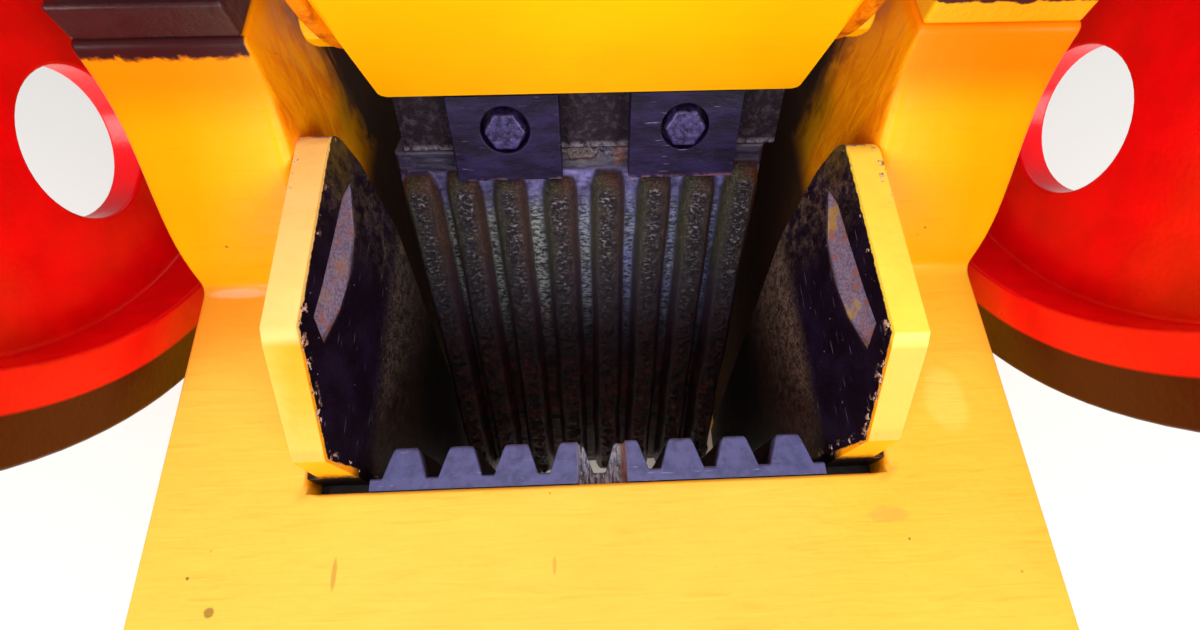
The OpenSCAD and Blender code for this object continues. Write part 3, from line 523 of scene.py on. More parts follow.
deck_x = np.concatenate([-rim_x[::-1], np.linspace(-half_gap, half_gap, 42)[1:-1], rim_x])
edge_drop = outer_round - np.sqrt(
    np.clip(outer_round**2 - np.clip(np.abs(deck_x) - rim_out + outer_round, 0, None) ** 2, 0, None)
)
lip_round = 2.2 * mm * np.clip((half_gap - np.abs(deck_x)) / (3 * mm), 0, 1)[None, :]
front_round = 2.5 * mm
run = np.linspace(0, 1, 18)[:, None]
flat = 0 * lip_round
deck_y = np.concatenate([
    lip_y + flat, deck_front + flat, deck_front + front_round * (1 - np.cos(quarter))[:, None] + flat,
    deck_front + front_round + (lip_y - lip_round - deck_front - front_round) * run[1:],
    lip_y - lip_round + lip_round * np.sin(quarter[1:])[:, None], lip_y + flat,
])
deck_top = np.concatenate([
    flat - skin_t, flat - skin_t, front_round * (np.sin(quarter) - 1)[:, None] + flat, 0 * run[1:] + flat,
    lip_round * (np.cos(quarter[1:]) - 1)[:, None], flat - skin_t,
])
upper = deck_top > -skin_t + 1 * mm
deck_wave = paint_wave(deck_x[None, :], deck_y) * np.clip((rim_out - np.abs(deck_x)) / (8 * mm), 0, 1)
deck_z = deck_h + deck_top + np.where(upper, deck_wave - edge_drop[None, :], 0)
deck_grid = np.stack([deck_x[None, :] + 0 * deck_y, deck_y, deck_z], axis=-1)
deck_grid = capped(deck_grid)
lip_rows = np.arange(len(deck_y) - 1)[:, None] >= len(deck_y) - len(quarter) - 1
middle_x = np.abs((deck_grid[0, :-1, 0] + deck_grid[0, 1:, 0]) / 2)
under_rim = (middle_x > half_gap) & (middle_x < rim_out - 0.01 * mm)
deck_skin = sheet(deck_grid, ~(lip_rows & under_rim[None, :]))
frame_top = placed(
    "frame_top_skin", finished_mesh("frame_top_skin", deck_skin, sheet(rim_grid(-1)), sheet(rim_grid(1))),
    frame_paint, "frame",
)
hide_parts("feed_deck", "rim_left", "rim_right")


# The fixed jaw plate stands in the pocket behind the deck's lip: cast steel with eight teeth.
# Its top end is blue-violet enamel; a handling notch in it is bare, scratched and rusty at one side.
fixed_valley_y = -170 * mm
ridge_h = 16 * mm
ridge_pitch = 30.3 * mm
crest_w = 12.7 * mm
root_w = 23.5 * mm
fixed_jaw_w = 248 * mm
jaw_foot_h = 140 * mm
pocket_y = -192 * mm
notch_x = 1.5 * mm
notch_w = 27 * mm
notch_d = 8 * mm
ridge_count = 8
below_lip = 0.5 * mm


def tooth_height(x, softness=1.1 * mm):
    """Height of the ridges over the valley floor across the plate: a trapezoid for each ridge,
    its corners rounded by the soft minimum -k log(exp(-a/k) + exp(-b/k))."""
    local = (x / ridge_pitch + ridge_count / 2) % 1 - 0.5
    flank = (root_w / 2 - np.abs(local) * ridge_pitch) / ((root_w - crest_w) / 2) * ridge_h
    flank = np.where(np.abs(x) > ridge_pitch * ridge_count / 2, -ridge_h, flank)
    top = -softness * np.log(np.exp(-flank / softness) + np.exp(-ridge_h / softness))
    return np.maximum(top, 0)


plate_x = np.linspace(-fixed_jaw_w / 2, fixed_jaw_w / 2, 497)
chips = np.clip(lumps(plate_x / (9 * mm) + 40, 0 * plate_x + 3.3, 11) - 0.15, 0, 1) * 1.6 * mm
tooth_y = fixed_valley_y + tooth_height(plate_x)
edge_r = 1.3 * mm + chips
in_notch = np.clip((notch_w / 2 - np.abs(plate_x - notch_x)) / (0.8 * mm), 0, 1)
top_z = deck_h - below_lip - in_notch * notch_d
back_y = lip_y + below_lip
run = np.linspace(0, 1, 16)[:, None]
down = np.linspace(0, 1, 50)[1:, None]
fixed_y = np.concatenate([
    back_y + (tooth_y - edge_r - back_y) * run, tooth_y - edge_r + edge_r * np.sin(quarter[1:])[:, None],
    tooth_y + 0 * down,
])
fixed_z = np.concatenate([
    top_z + 0 * run, top_z - edge_r + edge_r * np.cos(quarter[1:])[:, None],
    (top_z - edge_r) * (1 - down) + jaw_foot_h * down,
])
fixed_x = plate_x[None, :] + 0 * fixed_y
on_top = (np.arange(len(fixed_y)) < len(run))[:, None]
rough = lumps(fixed_x / (2.1 * mm), fixed_y / (2.1 * mm) + 90, 5)
rough = rough + lumps(fixed_x / (5 * mm), fixed_y / (5 * mm) + 90, 6)
fixed_z = fixed_z + on_top * (in_notch * 0.75 + 0.06) * rough * mm
crushed = lumps(fixed_x / (3 * mm), fixed_z / (3 * mm), 7) * 0.35 * mm
fixed_y = fixed_y + np.where(on_top, 0, crushed * np.clip((deck_h - 12 * mm - fixed_z) / (10 * mm), 0, 1))
under_lip = deck_h - skin_t
wall_path = np.array([[pocket_y, jaw_foot_h], [pocket_y, under_lip], [back_y, under_lip]])
wall_part = np.stack([
    plate_x[None, :] + 0 * wall_path[:, :1], wall_path[:, :1] + 0 * plate_x, wall_path[:, 1:] + 0 * plate_x,
], axis=-1)
fixed_grid = np.concatenate([wall_part, np.stack([fixed_x, fixed_y, fixed_z], axis=-1), wall_part[:1]])

blue_violet = shade(76, 77, 126)
deep_blue = shade(54, 56, 100)
bare_iron = shade(186, 188, 210)
rust_brown = shade(132, 82, 56)
deep_shade = shade(22, 14, 15)
blue_coat = Finish("fixed_jaw_enamel", Specular_IOR_Level=0.4, Coat_Weight=0.12, Coat_Roughness=0.3)
scuff = blue_coat.noise(8 * mm, 5.0, 0.65)
fine = blue_coat.noise(1.1 * mm, 4.0, 0.7)
from_notch = blue_coat.x - notch_x
notch_mask = from_notch.size().rise(notch_w / 2 + 0.6 * mm, notch_w / 2 - 0.8 * mm)
paint_tone = blue_coat.blend(scuff.rise(0.4, 0.7), blue_violet, deep_blue)
scratch = blue_coat.noise(1.0 * mm, 2.0, 0.5, blue_coat.stretched(0, 16, (0, 0, 0.7))).rise(0.7, 0.76)
paint_tone = blue_coat.blend(scratch * 0.5, paint_tone, shade(186, 186, 206))
# A paler line along the rounded top edge: rubbed paint with a painted highlight.
rubbed_and_lit_edge = blue_coat.z.rise(deck_h - 3.4 * mm, deck_h - 1.8 * mm)
rubbed_and_lit_edge = rubbed_and_lit_edge * blue_coat.z.rise(deck_h - 0.7 * mm, deck_h - 1.3 * mm)
paint_tone = blue_coat.blend(rubbed_and_lit_edge * scuff.rise(0.42, 0.55) * 0.55, paint_tone, shade(150, 150, 190))
grooves = blue_coat.noise(1.3 * mm, 4.0, 0.65, blue_coat.stretched(1, 7))
bare_tone = blue_coat.blend(grooves.rise(0.38, 0.62), shade(64, 60, 84), bare_iron)
bare_tone = blue_coat.blend(scuff.rise(0.6, 0.68) * 0.6, bare_tone, rust_brown)
bare_tone = blue_coat.blend(from_notch.rise(9.5 * mm, 11.5 * mm) * 0.8, bare_tone, rust_brown)
# Below the painted top end the plate is near black: painted shade down into the mouth, with brown steel in
# it.
depth_shade_tone = blue_coat.blend(scuff.rise(0.4, 0.7), deep_shade, shade(50, 32, 28))
top_mask = (blue_coat.z + (scuff - 0.5) * (6 * mm)).rise(deck_h - 12 * mm, deck_h - 7 * mm)
tone = blue_coat.blend(notch_mask, paint_tone, bare_tone)
blue_coat.two_tone(top_mask, depth_shade_tone, tone)
blue_coat.set("Roughness", fine * 0.25 + 0.32)
blue_coat.relief(fine * (notch_mask + 0.15) + scuff * 0.4, 0.9 * mm)
fixed_jaw = placed(
    "fixed_jaw_casting", finished_mesh("fixed_jaw_casting", sheet(capped(fixed_grid)), corner=50),
    blue_coat.material, "frame",
)
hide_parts("fixed_jaw_plate")


# The cheek plates line the side walls: cast steel, bolted from behind, dark violet enamel inside.
# Their top edges are painted over with the frame's yellow, ragged and chipped along the inner rim.
cheek_top = 527 * mm
cheek_bend = 443 * mm
cheek_in = half_gap - 29 * mm
cheek_top_in = half_gap - 17 * mm
cheek_level = 118 * mm
cheek_front_y, cheek_lip_z = -166 * mm, 488 * mm
dark_violet = shade(15, 4, 19)
violet = shade(36, 24, 52)
lens_grey = shade(134, 124, 152)
chip_white = shade(238, 206, 190)


def cheek_finish(name, side, knee, edge_tones, liner_tones, overspray):
    """Violet enamel with dust and rust in the scoop, and yellow within 2 mm of the plate's outline.
    The sides differ in the Y of the top edge's knee, their two edge and liner tones, and the share
    of yellow in the scoop."""
    paint = Finish(name, Specular_IOR_Level=0.3)
    fine = paint.noise(1.8 * mm, 5.0, 0.65)
    broad = paint.noise(26 * mm, 3.0)
    dust = paint.noise(8 * mm, 5.0, 0.7)
    ragged = (paint.noise(3.6 * mm, 4.0, 0.6) - 0.5) * (2.6 * mm)
    nose_y, nose_z = knee - cheek_front_y, cheek_top - cheek_lip_z
    nose = math.hypot(nose_y, nose_z)
    under_nose = (paint.y - cheek_front_y) * (nose_z / nose) - (paint.z - cheek_lip_z) * (nose_y / nose)
    inside = (cheek_top - paint.z).least(under_nose).least(paint.y - cheek_front_y + 1 * mm)
    outer = paint.x * side
    face_slope = (cheek_top_in - cheek_in) / (cheek_top - cheek_bend)
    face_x = (paint.z - cheek_bend).most(0) * face_slope + cheek_in
    scooped = (outer - face_x).rise(0.5 * mm, 1.3 * mm) * paint.y.rise(-160 * mm, -157 * mm)

    inner_tone = paint.blend(broad.rise(0.4, 0.75) * 0.5, dark_violet, violet)
    behind = paint.y.rise(-64 * mm, -24 * mm) * dust.rise(0.36, 0.66)
    below = (paint.z + (dust - 0.5) * (16 * mm)).rise(452 * mm, 430 * mm)
    liner = paint.blend((dust * 0.4 + fine * 0.6).rise(0.42, 0.62), *liner_tones)
    inner_tone = paint.blend((behind * 0.5).most(below * 0.85), inner_tone, liner)
    scratches = paint.noise(1.5 * mm, 2.0, 0.5, paint.stretched(1, 14, (0.5, 0, 0))).rise(0.69, 0.76)
    inner_tone = paint.blend(scratches * 0.35, inner_tone, shade(132, 122, 150))
    glints = paint.cells(5 * mm).rise(0.1, 0.05) * dust.rise(0.5, 0.6)
    inner_tone = paint.blend(glints * 0.7, inner_tone, shade(170, 160, 170))
    olive = paint.y.rise(-34 * mm, -10 * mm) * paint.z.rise(496 * mm, 512 * mm)
    inner_tone = paint.blend(olive * dust.rise(0.3, 0.6) * 0.6, inner_tone, shade(96, 78, 20))
    lens = paint.blend(fine.rise(0.35, 0.7), lens_grey, shade(92, 82, 112))
    lens = paint.blend(dust.rise(0.5, 0.64) * 0.75, lens, shade(150, 90, 70))
    lens = paint.blend(broad.rise(0.56, 0.66) * overspray, lens, shade(178, 146, 40))
    inner_tone = paint.blend(scooped, inner_tone, lens)
    # Painted shade: the inner face darkens to near black down into the mouth.
    inner_tone = paint.blend(paint.z.rise(430 * mm, 300 * mm), inner_tone, deep_shade)

    yellow_tone = paint.blend(broad.rise(0.3, 0.7), *edge_tones)
    # Painted shade: the nose and the front face, turned forward away from the light, are deeper orange.
    on_nose = paint.z.rise(524.5 * mm, 521 * mm) * paint.y.rise(knee + 4 * mm, knee)
    yellow_tone = paint.blend(on_nose, yellow_tone, shade(246, 166, 26))
    outline = (inside + ragged).rise(2.7 * mm, 1.7 * mm).most(outer.rise(151 * mm, 152 * mm))
    on_front = paint.y.rise(-160 * mm, -163 * mm)
    yellow_tone = paint.blend(on_front * 0.75, yellow_tone, shade(246, 152, 0))
    # Painted shadow: the low front face is near black where it stands in the pocket's corner.
    pocket_shadow = on_front * (paint.z + ragged * 4).rise(466 * mm, 454 * mm)
    yellow_tone = paint.blend(pocket_shadow, yellow_tone, shade(12, 7, 8))
    tone = paint.blend(outline, inner_tone, yellow_tone)
    near_knee = (paint.y - knee + 14 * mm).size().rise(40 * mm, 16 * mm)
    chipped = inside.rise(8 * mm, 3.5 * mm) * inside.rise(0.4 * mm, 1.6 * mm)
    chipped = chipped * outer.rise(147 * mm, 143 * mm)
    chipped = chipped * (paint.noise(6 * mm, 3.0) + near_knee * 0.1).rise(0.62, 0.66)
    level_end = knee + cheek_level
    outer_rear = paint.y.rise(level_end - 50 * mm, level_end - 30 * mm) * outer.rise(152 * mm, 155 * mm)
    chipped = chipped.most(outer_rear * paint.noise(5 * mm, 3.0).rise(0.54, 0.6))
    tone = paint.blend(chipped * 0.9, tone, paint.blend(fine.rise(0.44, 0.56), edge_rust, chip_white))
    paint.set("Base Color", tone)
    paint.set("Roughness", fine * 0.3 + 0.24)
    paint.relief(fine * (0.3 + outline * -0.25) + broad, 1 * mm)
    return paint.material


for side_name, *variant in (
    ("left", -1, -110 * mm, (shade(246, 203, 118), shade(244, 197, 108)),
     (shade(30, 22, 22), shade(98, 84, 74)), 0.15),
    ("right", 1, -123 * mm, (shade(253, 230, 84), shade(252, 222, 74)),
     (shade(48, 36, 32), shade(130, 106, 92)), 0.6),
):
    finish = cheek_finish("cheek_enamel_" + side_name, *variant)
    eased("cheek_plate_" + side_name, 1.6 * mm, finish, "frame", 3)


# Bearing housings: cast iron pedestals with a foot and a round cap, bolted to the seats.
# They are maroon, with the frame's yellow brushed up their feet; each has four hexagon bolts.
shaft_y = 95 * mm
shaft_z = 643 * mm
housing_x = half_gap + 1 * mm
housing_w = 77.5 * mm
housing_foot_t = 18 * mm
cap_bolt_run = 67 * mm
cap_bolt_in = 20 * mm
cap_bolt_flats, cap_bolt_head, cap_washer = 17 * mm, 9 * mm, 2 * mm
bolt_sink = 0.1 * mm


def hexagon_bolt(name, centre, axis, flats, height, finish, body, washer=0.0):
    """A hexagon head turned about an axis: rings of radius r at height h, where r is the hexagon's
    flats / 2 / cos(angle to the nearest flat), cut down to a chamfer circle at the top."""
    angle = np.linspace(0, 2 * np.pi, 49)
    hexagon = flats / 2 / np.cos((angle + np.pi / 6) % (np.pi / 3) - np.pi / 6)
    collar = flats * 0.66 + 0 * angle
    radii = [collar, collar, collar - 0.2 * washer, hexagon, hexagon, np.minimum(hexagon, flats * 0.535),
             np.minimum(hexagon, flats * 0.475), 0 * angle]
    rise = np.array([0, 0.8 * washer, washer, washer, washer + 0.8 * height, washer + 0.92 * height,
                     washer + height, washer + height])
    grid = np.stack([radii * np.cos(angle), radii * np.sin(angle), rise[:, None] + 0 * angle], axis=-1)
    grid = grid[0 if washer else 3:]
    grid = np.concatenate([0 * grid[:1], grid])
    turn = Vector((0, 0, 1)).rotation_difference(Vector(axis)).to_matrix()
    mesh = finished_mesh(name, sheet(grid @ np.array(turn).T + np.array(centre)), corner=28)
    return placed(name, mesh, finish, body)


housing_coat = Finish("housing_enamel", Specular_IOR_Level=0.45, Coat_Weight=0.15, Coat_Roughness=0.25)
housing_grain = housing_coat.noise(5 * mm, 5.0, 0.6)
housing_broad = housing_coat.noise(40 * mm, 3.0)
maroon = housing_coat.blend(housing_broad.rise(0.35, 0.7), shade(48, 18, 20), shade(66, 27, 28))
brushed_up = housing_coat.x.rise(-20 * mm, 20 * mm) * (17 * mm) + (seat_z - 5 * mm)
drip = housing_coat.z - brushed_up + (housing_coat.noise(8 * mm, 4.0, 0.65) - 0.5) * (7 * mm)
housing_coat.two_tone(drip.rise(0.6 * mm, -0.6 * mm), maroon, yellow)
housing_coat.set("Roughness", housing_grain * 0.3 + 0.28)
housing_coat.relief(housing_grain, 0.7 * mm)
bolt_steel = Finish("bolt_steel", Metallic=0.85, Specular_IOR_Level=0.5)
bolt_grain = bolt_steel.noise(2 * mm, 3.0)
bolt_steel.two_tone(bolt_grain.rise(0.4, 0.7), shade(120, 112, 104), shade(92, 66, 50))
bolt_steel.set("Roughness", bolt_grain * 0.4 + 0.3)
for side_name, way in (("left", -1), ("right", 1)):
    for node in ("bearing_base_" + side_name, "bearing_cap_" + side_name):
        eased(node, 3.5 * mm, housing_coat.material, "frame", 3)
    for row, y in (("front", shaft_y - cap_bolt_run), ("rear", shaft_y + cap_bolt_run)):
        for column, x in (("inner", cap_bolt_in), ("outer", housing_w - cap_bolt_in)):
            hexagon_bolt(
                f"cap_bolt_{side_name}_{row}_{column}",
                (way * (housing_x + x), y, shaft_z + housing_foot_t - bolt_sink), (0, 0, 1),
                cap_bolt_flats, cap_bolt_head, bolt_steel.material, "frame", cap_washer,
            )


# The eccentric shaft runs through both housings: turned steel, oily where it is bare.
# Its nuts hold the wheels on the two ends.
bright_steel = Finish("turned_steel", Metallic=0.95)
turning = bright_steel.noise(0.7 * mm, 2.0, 0.5, bright_steel.stretched(1, 60))
oil = bright_steel.noise(30 * mm, 4.0)
bright_steel.two_tone(oil.rise(0.45, 0.7), shade(172, 170, 166), shade(110, 88, 66))
bright_steel.set("Roughness", turning * 0.2 + oil * 0.2 + 0.18)
bright_steel.relief(turning, 0.08 * mm)
for node in ("eccentric_shaft", "shaft_nut_left", "shaft_nut_right"):
    eased(node, 1.0 * mm, bright_steel.material, "shaft", 2)


# Flywheel and belt pulley: cast iron wheels with a heavy rim, sprayed in bright red gloss.
# The outer band of each rim, with the pulley's belt grooves, is dark maroon.
gloss = Finish("red_gloss", Specular_IOR_Level=0.3, Coat_Weight=0.1, Coat_Roughness=0.16)
dark_band_r = 267 * mm
orange_peel = gloss.noise(3 * mm, 3.0, 0.5)
cast_skin = gloss.noise(24 * mm, 3.0, 0.5)
from_axis_y, from_axis_z = gloss.y - shaft_y, gloss.z - shaft_z
from_axis = (from_axis_y * from_axis_y + from_axis_z * from_axis_z) ** 0.5
red = gloss.blend(cast_skin.rise(0.3, 0.7), shade(240, 0, 14), shade(222, 0, 9))
gloss.two_tone(from_axis.rise(dark_band_r, dark_band_r + 2 * mm), red, shade(62, 2, 4))
gloss.set("Roughness", cast_skin * 0.12 + 0.24)
gloss.relief(orange_peel * 0.3 + cast_skin, 0.6 * mm)
for node in ("flywheel", "belt_pulley"):
    eased(node, 2.4 * mm, gloss.material, "shaft", 3)


# The swing jaw's casting: a round head on the eccentric, an apron over the mouth, ribs behind.
# The apron and the head are saturated yellow, the seat under the apron is dark and greasy.
# Below the plate's top the seat is near black with painted shade.
lean = math.radians(24.2)
lean_sin, lean_cos = math.sin(lean), math.cos(lean)
fixed_crest_y = fixed_valley_y + ridge_h
gape = 155 * mm
jaw_top = 29 * mm
crest_top = (fixed_crest_y + gape + jaw_top * lean_sin / lean_cos, deck_h + jaw_top)
head_c = (95 * mm, 637 * mm)
apron_s = -44.5 * mm
body_back = 62 * mm
half_body = 118 * mm
body_off = 2 * mm
cover_t = 7 * mm
cover_bolt_r = 90 * mm
cover_bolts = 6
cover_bolt_turn = -135
cover_bolt_flats, cover_bolt_head = 19 * mm, 14 * mm


def on_jaw(s, t):
    """The point s down the crests of the swing jaw from their top and t behind them, in Y and Z."""
    return crest_top[0] - s * lean_sin + t * lean_cos, crest_top[1] - s * lean_cos - t * lean_sin


def jaw_lines(paint):
    """s and t of on_jaw for each point of a finish."""
    fore, high = paint.y - crest_top[0], paint.z - crest_top[1]
    return fore * -lean_sin + high * -lean_cos, fore * lean_cos + high * -lean_sin


casting = Finish("swing_jaw_enamel", Specular_IOR_Level=0.16)
brush = casting.noise(3.4 * mm, 3.0, 0.6, casting.stretched(0, 18), 0.5)
drift = casting.noise(70 * mm, 2.0)
casting_tone = casting.blend(drift.rise(0.35, 0.7), shade(255, 175, 0), shade(255, 182, 0))
casting_tone = casting.blend(brush.rise(0.62, 0.78) * 0.3, casting_tone, shade(228, 140, 0))
s_line, t_line = jaw_lines(casting)
ragged = (casting.noise(5 * mm, 3.0) - 0.5) * (2.2 * mm)
seat_grime = casting.noise(5 * mm, 5.0, 0.7)
below_apron = (s_line + ragged).rise(apron_s + 0.6 * mm, apron_s + 1.6 * mm)
seat = below_apron * t_line.rise(body_back - 2 * mm, body_back - 14 * mm)
seat_tone = casting.blend(seat_grime.rise(0.45, 0.75), shade(22, 11, 20), shade(64, 50, 64))
# A paler band along the seat's lip: worn paint with a painted highlight.
worn_lit_lip = s_line.rise(-5.5 * mm, -2.5 * mm) * s_line.rise(2 * mm, 0) * seat_grime.rise(0.35, 0.6)
seat_tone = casting.blend(worn_lit_lip * 0.5, seat_tone, shade(140, 132, 144))
# Painted shade: the seat is near black below the plate's top, in the gap beside the plate.
seat_tone = casting.blend(s_line.rise(0, 20 * mm), seat_tone, deep_shade)
casting.two_tone(seat, casting_tone, seat_tone)
casting.set("Roughness", brush * 0.2 + 0.34 + seat * 0.1)
casting.relief(brush * 0.3 + seat_grime * seat * 2.4 + drift * 0.5, 0.5 * mm)
eased("swing_jaw_body", 2.4 * mm, casting.material, "swing_jaw", 3)
cover_coat = Finish("cover_enamel", Specular_IOR_Level=0.3, Roughness=0.3)
cover_runs = cover_coat.noise(9 * mm, 4.0, 0.6)
cover_coat.two_tone(cover_runs.rise(0.38, 0.66), shade(238, 128, 0), shade(176, 76, 0))
cover_coat.relief(cover_runs, 2 * mm)
for side_name, way in (("left", -1), ("right", 1)):
    eased("head_cover_" + side_name, 2.0 * mm, cover_coat.material, "swing_jaw", 3)
    for number in range(cover_bolts):
        angle = math.radians(cover_bolt_turn + 360 / cover_bolts * number)
        hexagon_bolt(
            f"cover_bolt_{side_name}_{number + 1}",
            (way * (half_body + cover_t - bolt_sink) + body_off, head_c[0] + cover_bolt_r * math.cos(angle),
             head_c[1] + cover_bolt_r * math.sin(angle)),
            (way, 0, 0), cover_bolt_flats, cover_bolt_head, casting.material, "swing_jaw",
        )


# The swing jaw plate: manganese steel with eight ridges, dark violet paint worn off on the crests.
# The crests are coarse and pitted as cast, and the ridges round off under a bare land at the top.
swing_jaw_w = 237 * mm
swing_jaw_off = 4.5 * mm
swing_jaw_l = 346 * mm
jaw_t = 36 * mm
columns, rows = 300, 280
bullet_l = 20 * mm
ridge_tops = np.array([14, 13, 15, 17, 15, 15, 15, 11]) * mm
ridge_shifts = np.array([0, -2.2, -2.2, 0.8, 2.4, 2.4, 2.2, -0.6]) * mm
worn_x = 9 * mm
worn_w = 17 * mm
local_x = np.linspace(-swing_jaw_w / 2, swing_jaw_w / 2, columns)
across, down_s = np.meshgrid(local_x, swing_jaw_l * np.linspace(0, 1, rows) ** 1.25)
ridge = np.clip(np.floor(across / ridge_pitch + ridge_count / 2), 0, ridge_count - 1).astype(int)
wander = ridge_shifts[ridge] + 0.9 * mm * lumps(down_s / (45 * mm) + 5, ridge * 7.3, 21)
off_middle = np.abs(across - (ridge - (ridge_count - 1) / 2) * ridge_pitch - wander)
bullet = np.sqrt(1 - (1 - np.clip((down_s - ridge_tops[ridge]) / bullet_l, 0, 1)) ** 2)
half_root = root_w / 2 * (0.55 + 0.47 * bullet)
profile = np.sqrt(1 - np.clip(off_middle / half_root, 0, 1) ** 2.4) * np.clip(bullet * 1.15, 0, 1)
pits = lumps(across / (2.0 * mm) + 20, down_s / (2.2 * mm), 31)
grains = lumps(across / (4.6 * mm) + 20, down_s / (5 * mm), 32)
streaks = lumps(across / (1.6 * mm) + 20, down_s / (16 * mm), 33)
ripples = lumps(across / (7 * mm) + 20, down_s / (1.7 * mm), 34)
on_crest = np.clip((profile - 0.86) / 0.1, 0, 1)
on_flank = (profile > 0.05) * (1 - on_crest)
height = ridge_h * profile + on_crest * (0.9 * pits + 1.1 * grains - 0.9) * mm
height = height + on_flank * 0.3 * streaks * mm + (profile < 0.05) * 0.3 * ripples * mm
worn = np.exp(-(((across - worn_x) / worn_w) ** 2)) * np.clip(1 - down_s / (12 * mm), 0, 1)
height = height - worn * (2.2 + 1.6 * pits + 1.8 * grains) * mm
from_edge = np.minimum(np.minimum(down_s, swing_jaw_l - down_s), swing_jaw_w / 2 - np.abs(across))
height = height - 1.3 * mm * np.clip(1 - from_edge / (1.5 * mm), 0, 1) ** 2


def jaw_place(x, s, t):
    """World points from x across, s down and t behind the crests."""
    y, z = on_jaw(s, t)
    return np.stack([x - swing_jaw_off, y, z], axis=-1)


back_top = jaw_place(local_x, 0 * local_x, jaw_t + 0 * local_x)[None]
back_foot = jaw_place(local_x, swing_jaw_l + 0 * local_x, jaw_t + 0 * local_x)[None]
jaw_grid = np.concatenate([back_top, jaw_place(across, down_s, ridge_h - height), back_foot, back_top])
jaw_mesh = finished_mesh("swing_jaw_casting", sheet(capped(jaw_grid)[:, ::-1]), corner=75)

steel = Finish("swing_jaw_steel", Specular_IOR_Level=0.5)
s_line, t_line = jaw_lines(steel)
relief = (ridge_h - t_line) * (1 / ridge_h)
turn_of_ridge = (steel.x + (swing_jaw_off + ridge_count / 2 * ridge_pitch)) * (1 / ridge_pitch)
flank_side = turn_of_ridge.math("FRACT") - 0.5
grit = steel.noise(1.3 * mm, 5.0, 0.75)
blotch = steel.noise(12 * mm, 4.0, 0.65)
scales = steel.noise(1.7 * mm, 4.0, 0.65, steel.stretched(0, 2.2))
# Painted glints: pale specks along the crests' middles, fading down the plate.
crest_glints = scales.rise(0.52, 0.64) * flank_side.size().rise(0.3, 0.08)
crest_tone = steel.blend(grit.rise(0.45, 0.7), shade(15, 8, 17), shade(44, 36, 50))
crest_tone = steel.blend(crest_glints * s_line.rise(200 * mm, 40 * mm), crest_tone, shade(130, 122, 128))
olive = steel.blend(grit.rise(0.45, 0.7), shade(36, 32, 25), shade(98, 94, 74))
red_brown = steel.blend(grit.rise(0.45, 0.7), shade(44, 28, 25), shade(104, 74, 62))
flank_tone = steel.blend(flank_side.rise(-0.12, 0.12), olive, red_brown)
plum = steel.blend(grit.rise(0.45, 0.7), shade(34, 22, 38), shade(80, 68, 98))
flank_tone = steel.blend(s_line.rise(60 * mm, 120 * mm) * 0.75, flank_tone, plum)
valley_tone = steel.blend(scales.rise(0.42, 0.6), shade(44, 40, 46), shade(146, 148, 146))
blue_glaze = steel.blend(scales.rise(0.42, 0.6), shade(52, 50, 82), shade(134, 138, 180))
valley_tone = steel.blend(steel.x.rise(-40 * mm, 30 * mm) * blotch.rise(0.3, 0.6), valley_tone, blue_glaze)
lavender = steel.blend(blotch.rise(0.35, 0.65), shade(120, 112, 172), shade(60, 48, 86))
valley_tone = steel.blend(s_line.rise(52 * mm, 24 * mm), valley_tone, lavender)
land_tone = steel.blend(blotch.rise(0.4, 0.7), shade(40, 28, 58), shade(26, 17, 38))
valley_tone = steel.blend(s_line.rise(18 * mm, 13 * mm), valley_tone, land_tone)
# Painted shade: the valleys darken down the plate.
valley_tone = steel.blend(s_line.rise(90 * mm, 220 * mm) * 0.85, valley_tone, shade(34, 26, 40))
tone = steel.blend(relief.rise(0.06, 0.3), valley_tone, flank_tone)
tone = steel.blend(relief.rise(0.82, 0.95), tone, crest_tone)
# Rust with painted shade: the lower plate goes dark red-brown to near black.
rust_and_shade = steel.blend(blotch.rise(0.4, 0.7), shade(28, 9, 10), shade(92, 36, 28))
tone = steel.blend(s_line.rise(90 * mm, 240 * mm) * 0.85, tone, rust_and_shade)
bare_top = (s_line + (grit - 0.5) * (2 * mm)).rise(2.4 * mm, 0.8 * mm) * blotch.rise(0.4, 0.55)
tone = steel.blend(bare_top * 0.6, tone, shade(88, 80, 98))
from_worn = steel.x - (worn_x - swing_jaw_off)
chipped = from_worn.size().rise(22 * mm, 17 * mm)
chipped = chipped * (s_line + (blotch - 0.5) * (18 * mm)).rise(12 * mm, 8 * mm)
chip_tone = steel.blend(from_worn.rise(-6 * mm, 8 * mm), shade(66, 46, 42), shade(32, 22, 48))
chip_tone = steel.blend(from_worn.rise(11 * mm, 14 * mm), chip_tone, shade(96, 46, 36))
chip_tone = steel.blend(grit.rise(0.56, 0.68), chip_tone, shade(160, 150, 156))
tone = steel.blend(chipped * grit.rise(0.36, 0.46) * 0.85, tone, chip_tone)
steel.set("Base Color", tone)
steel.set("Roughness", grit * 0.35 + 0.2)
steel.relief(grit * (relief.rise(0.6, 0.9) + 0.3), 1.4 * mm)
jaw_plate = placed("swing_jaw_casting", jaw_mesh, steel.material, "swing_jaw")
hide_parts("swing_jaw_plate")


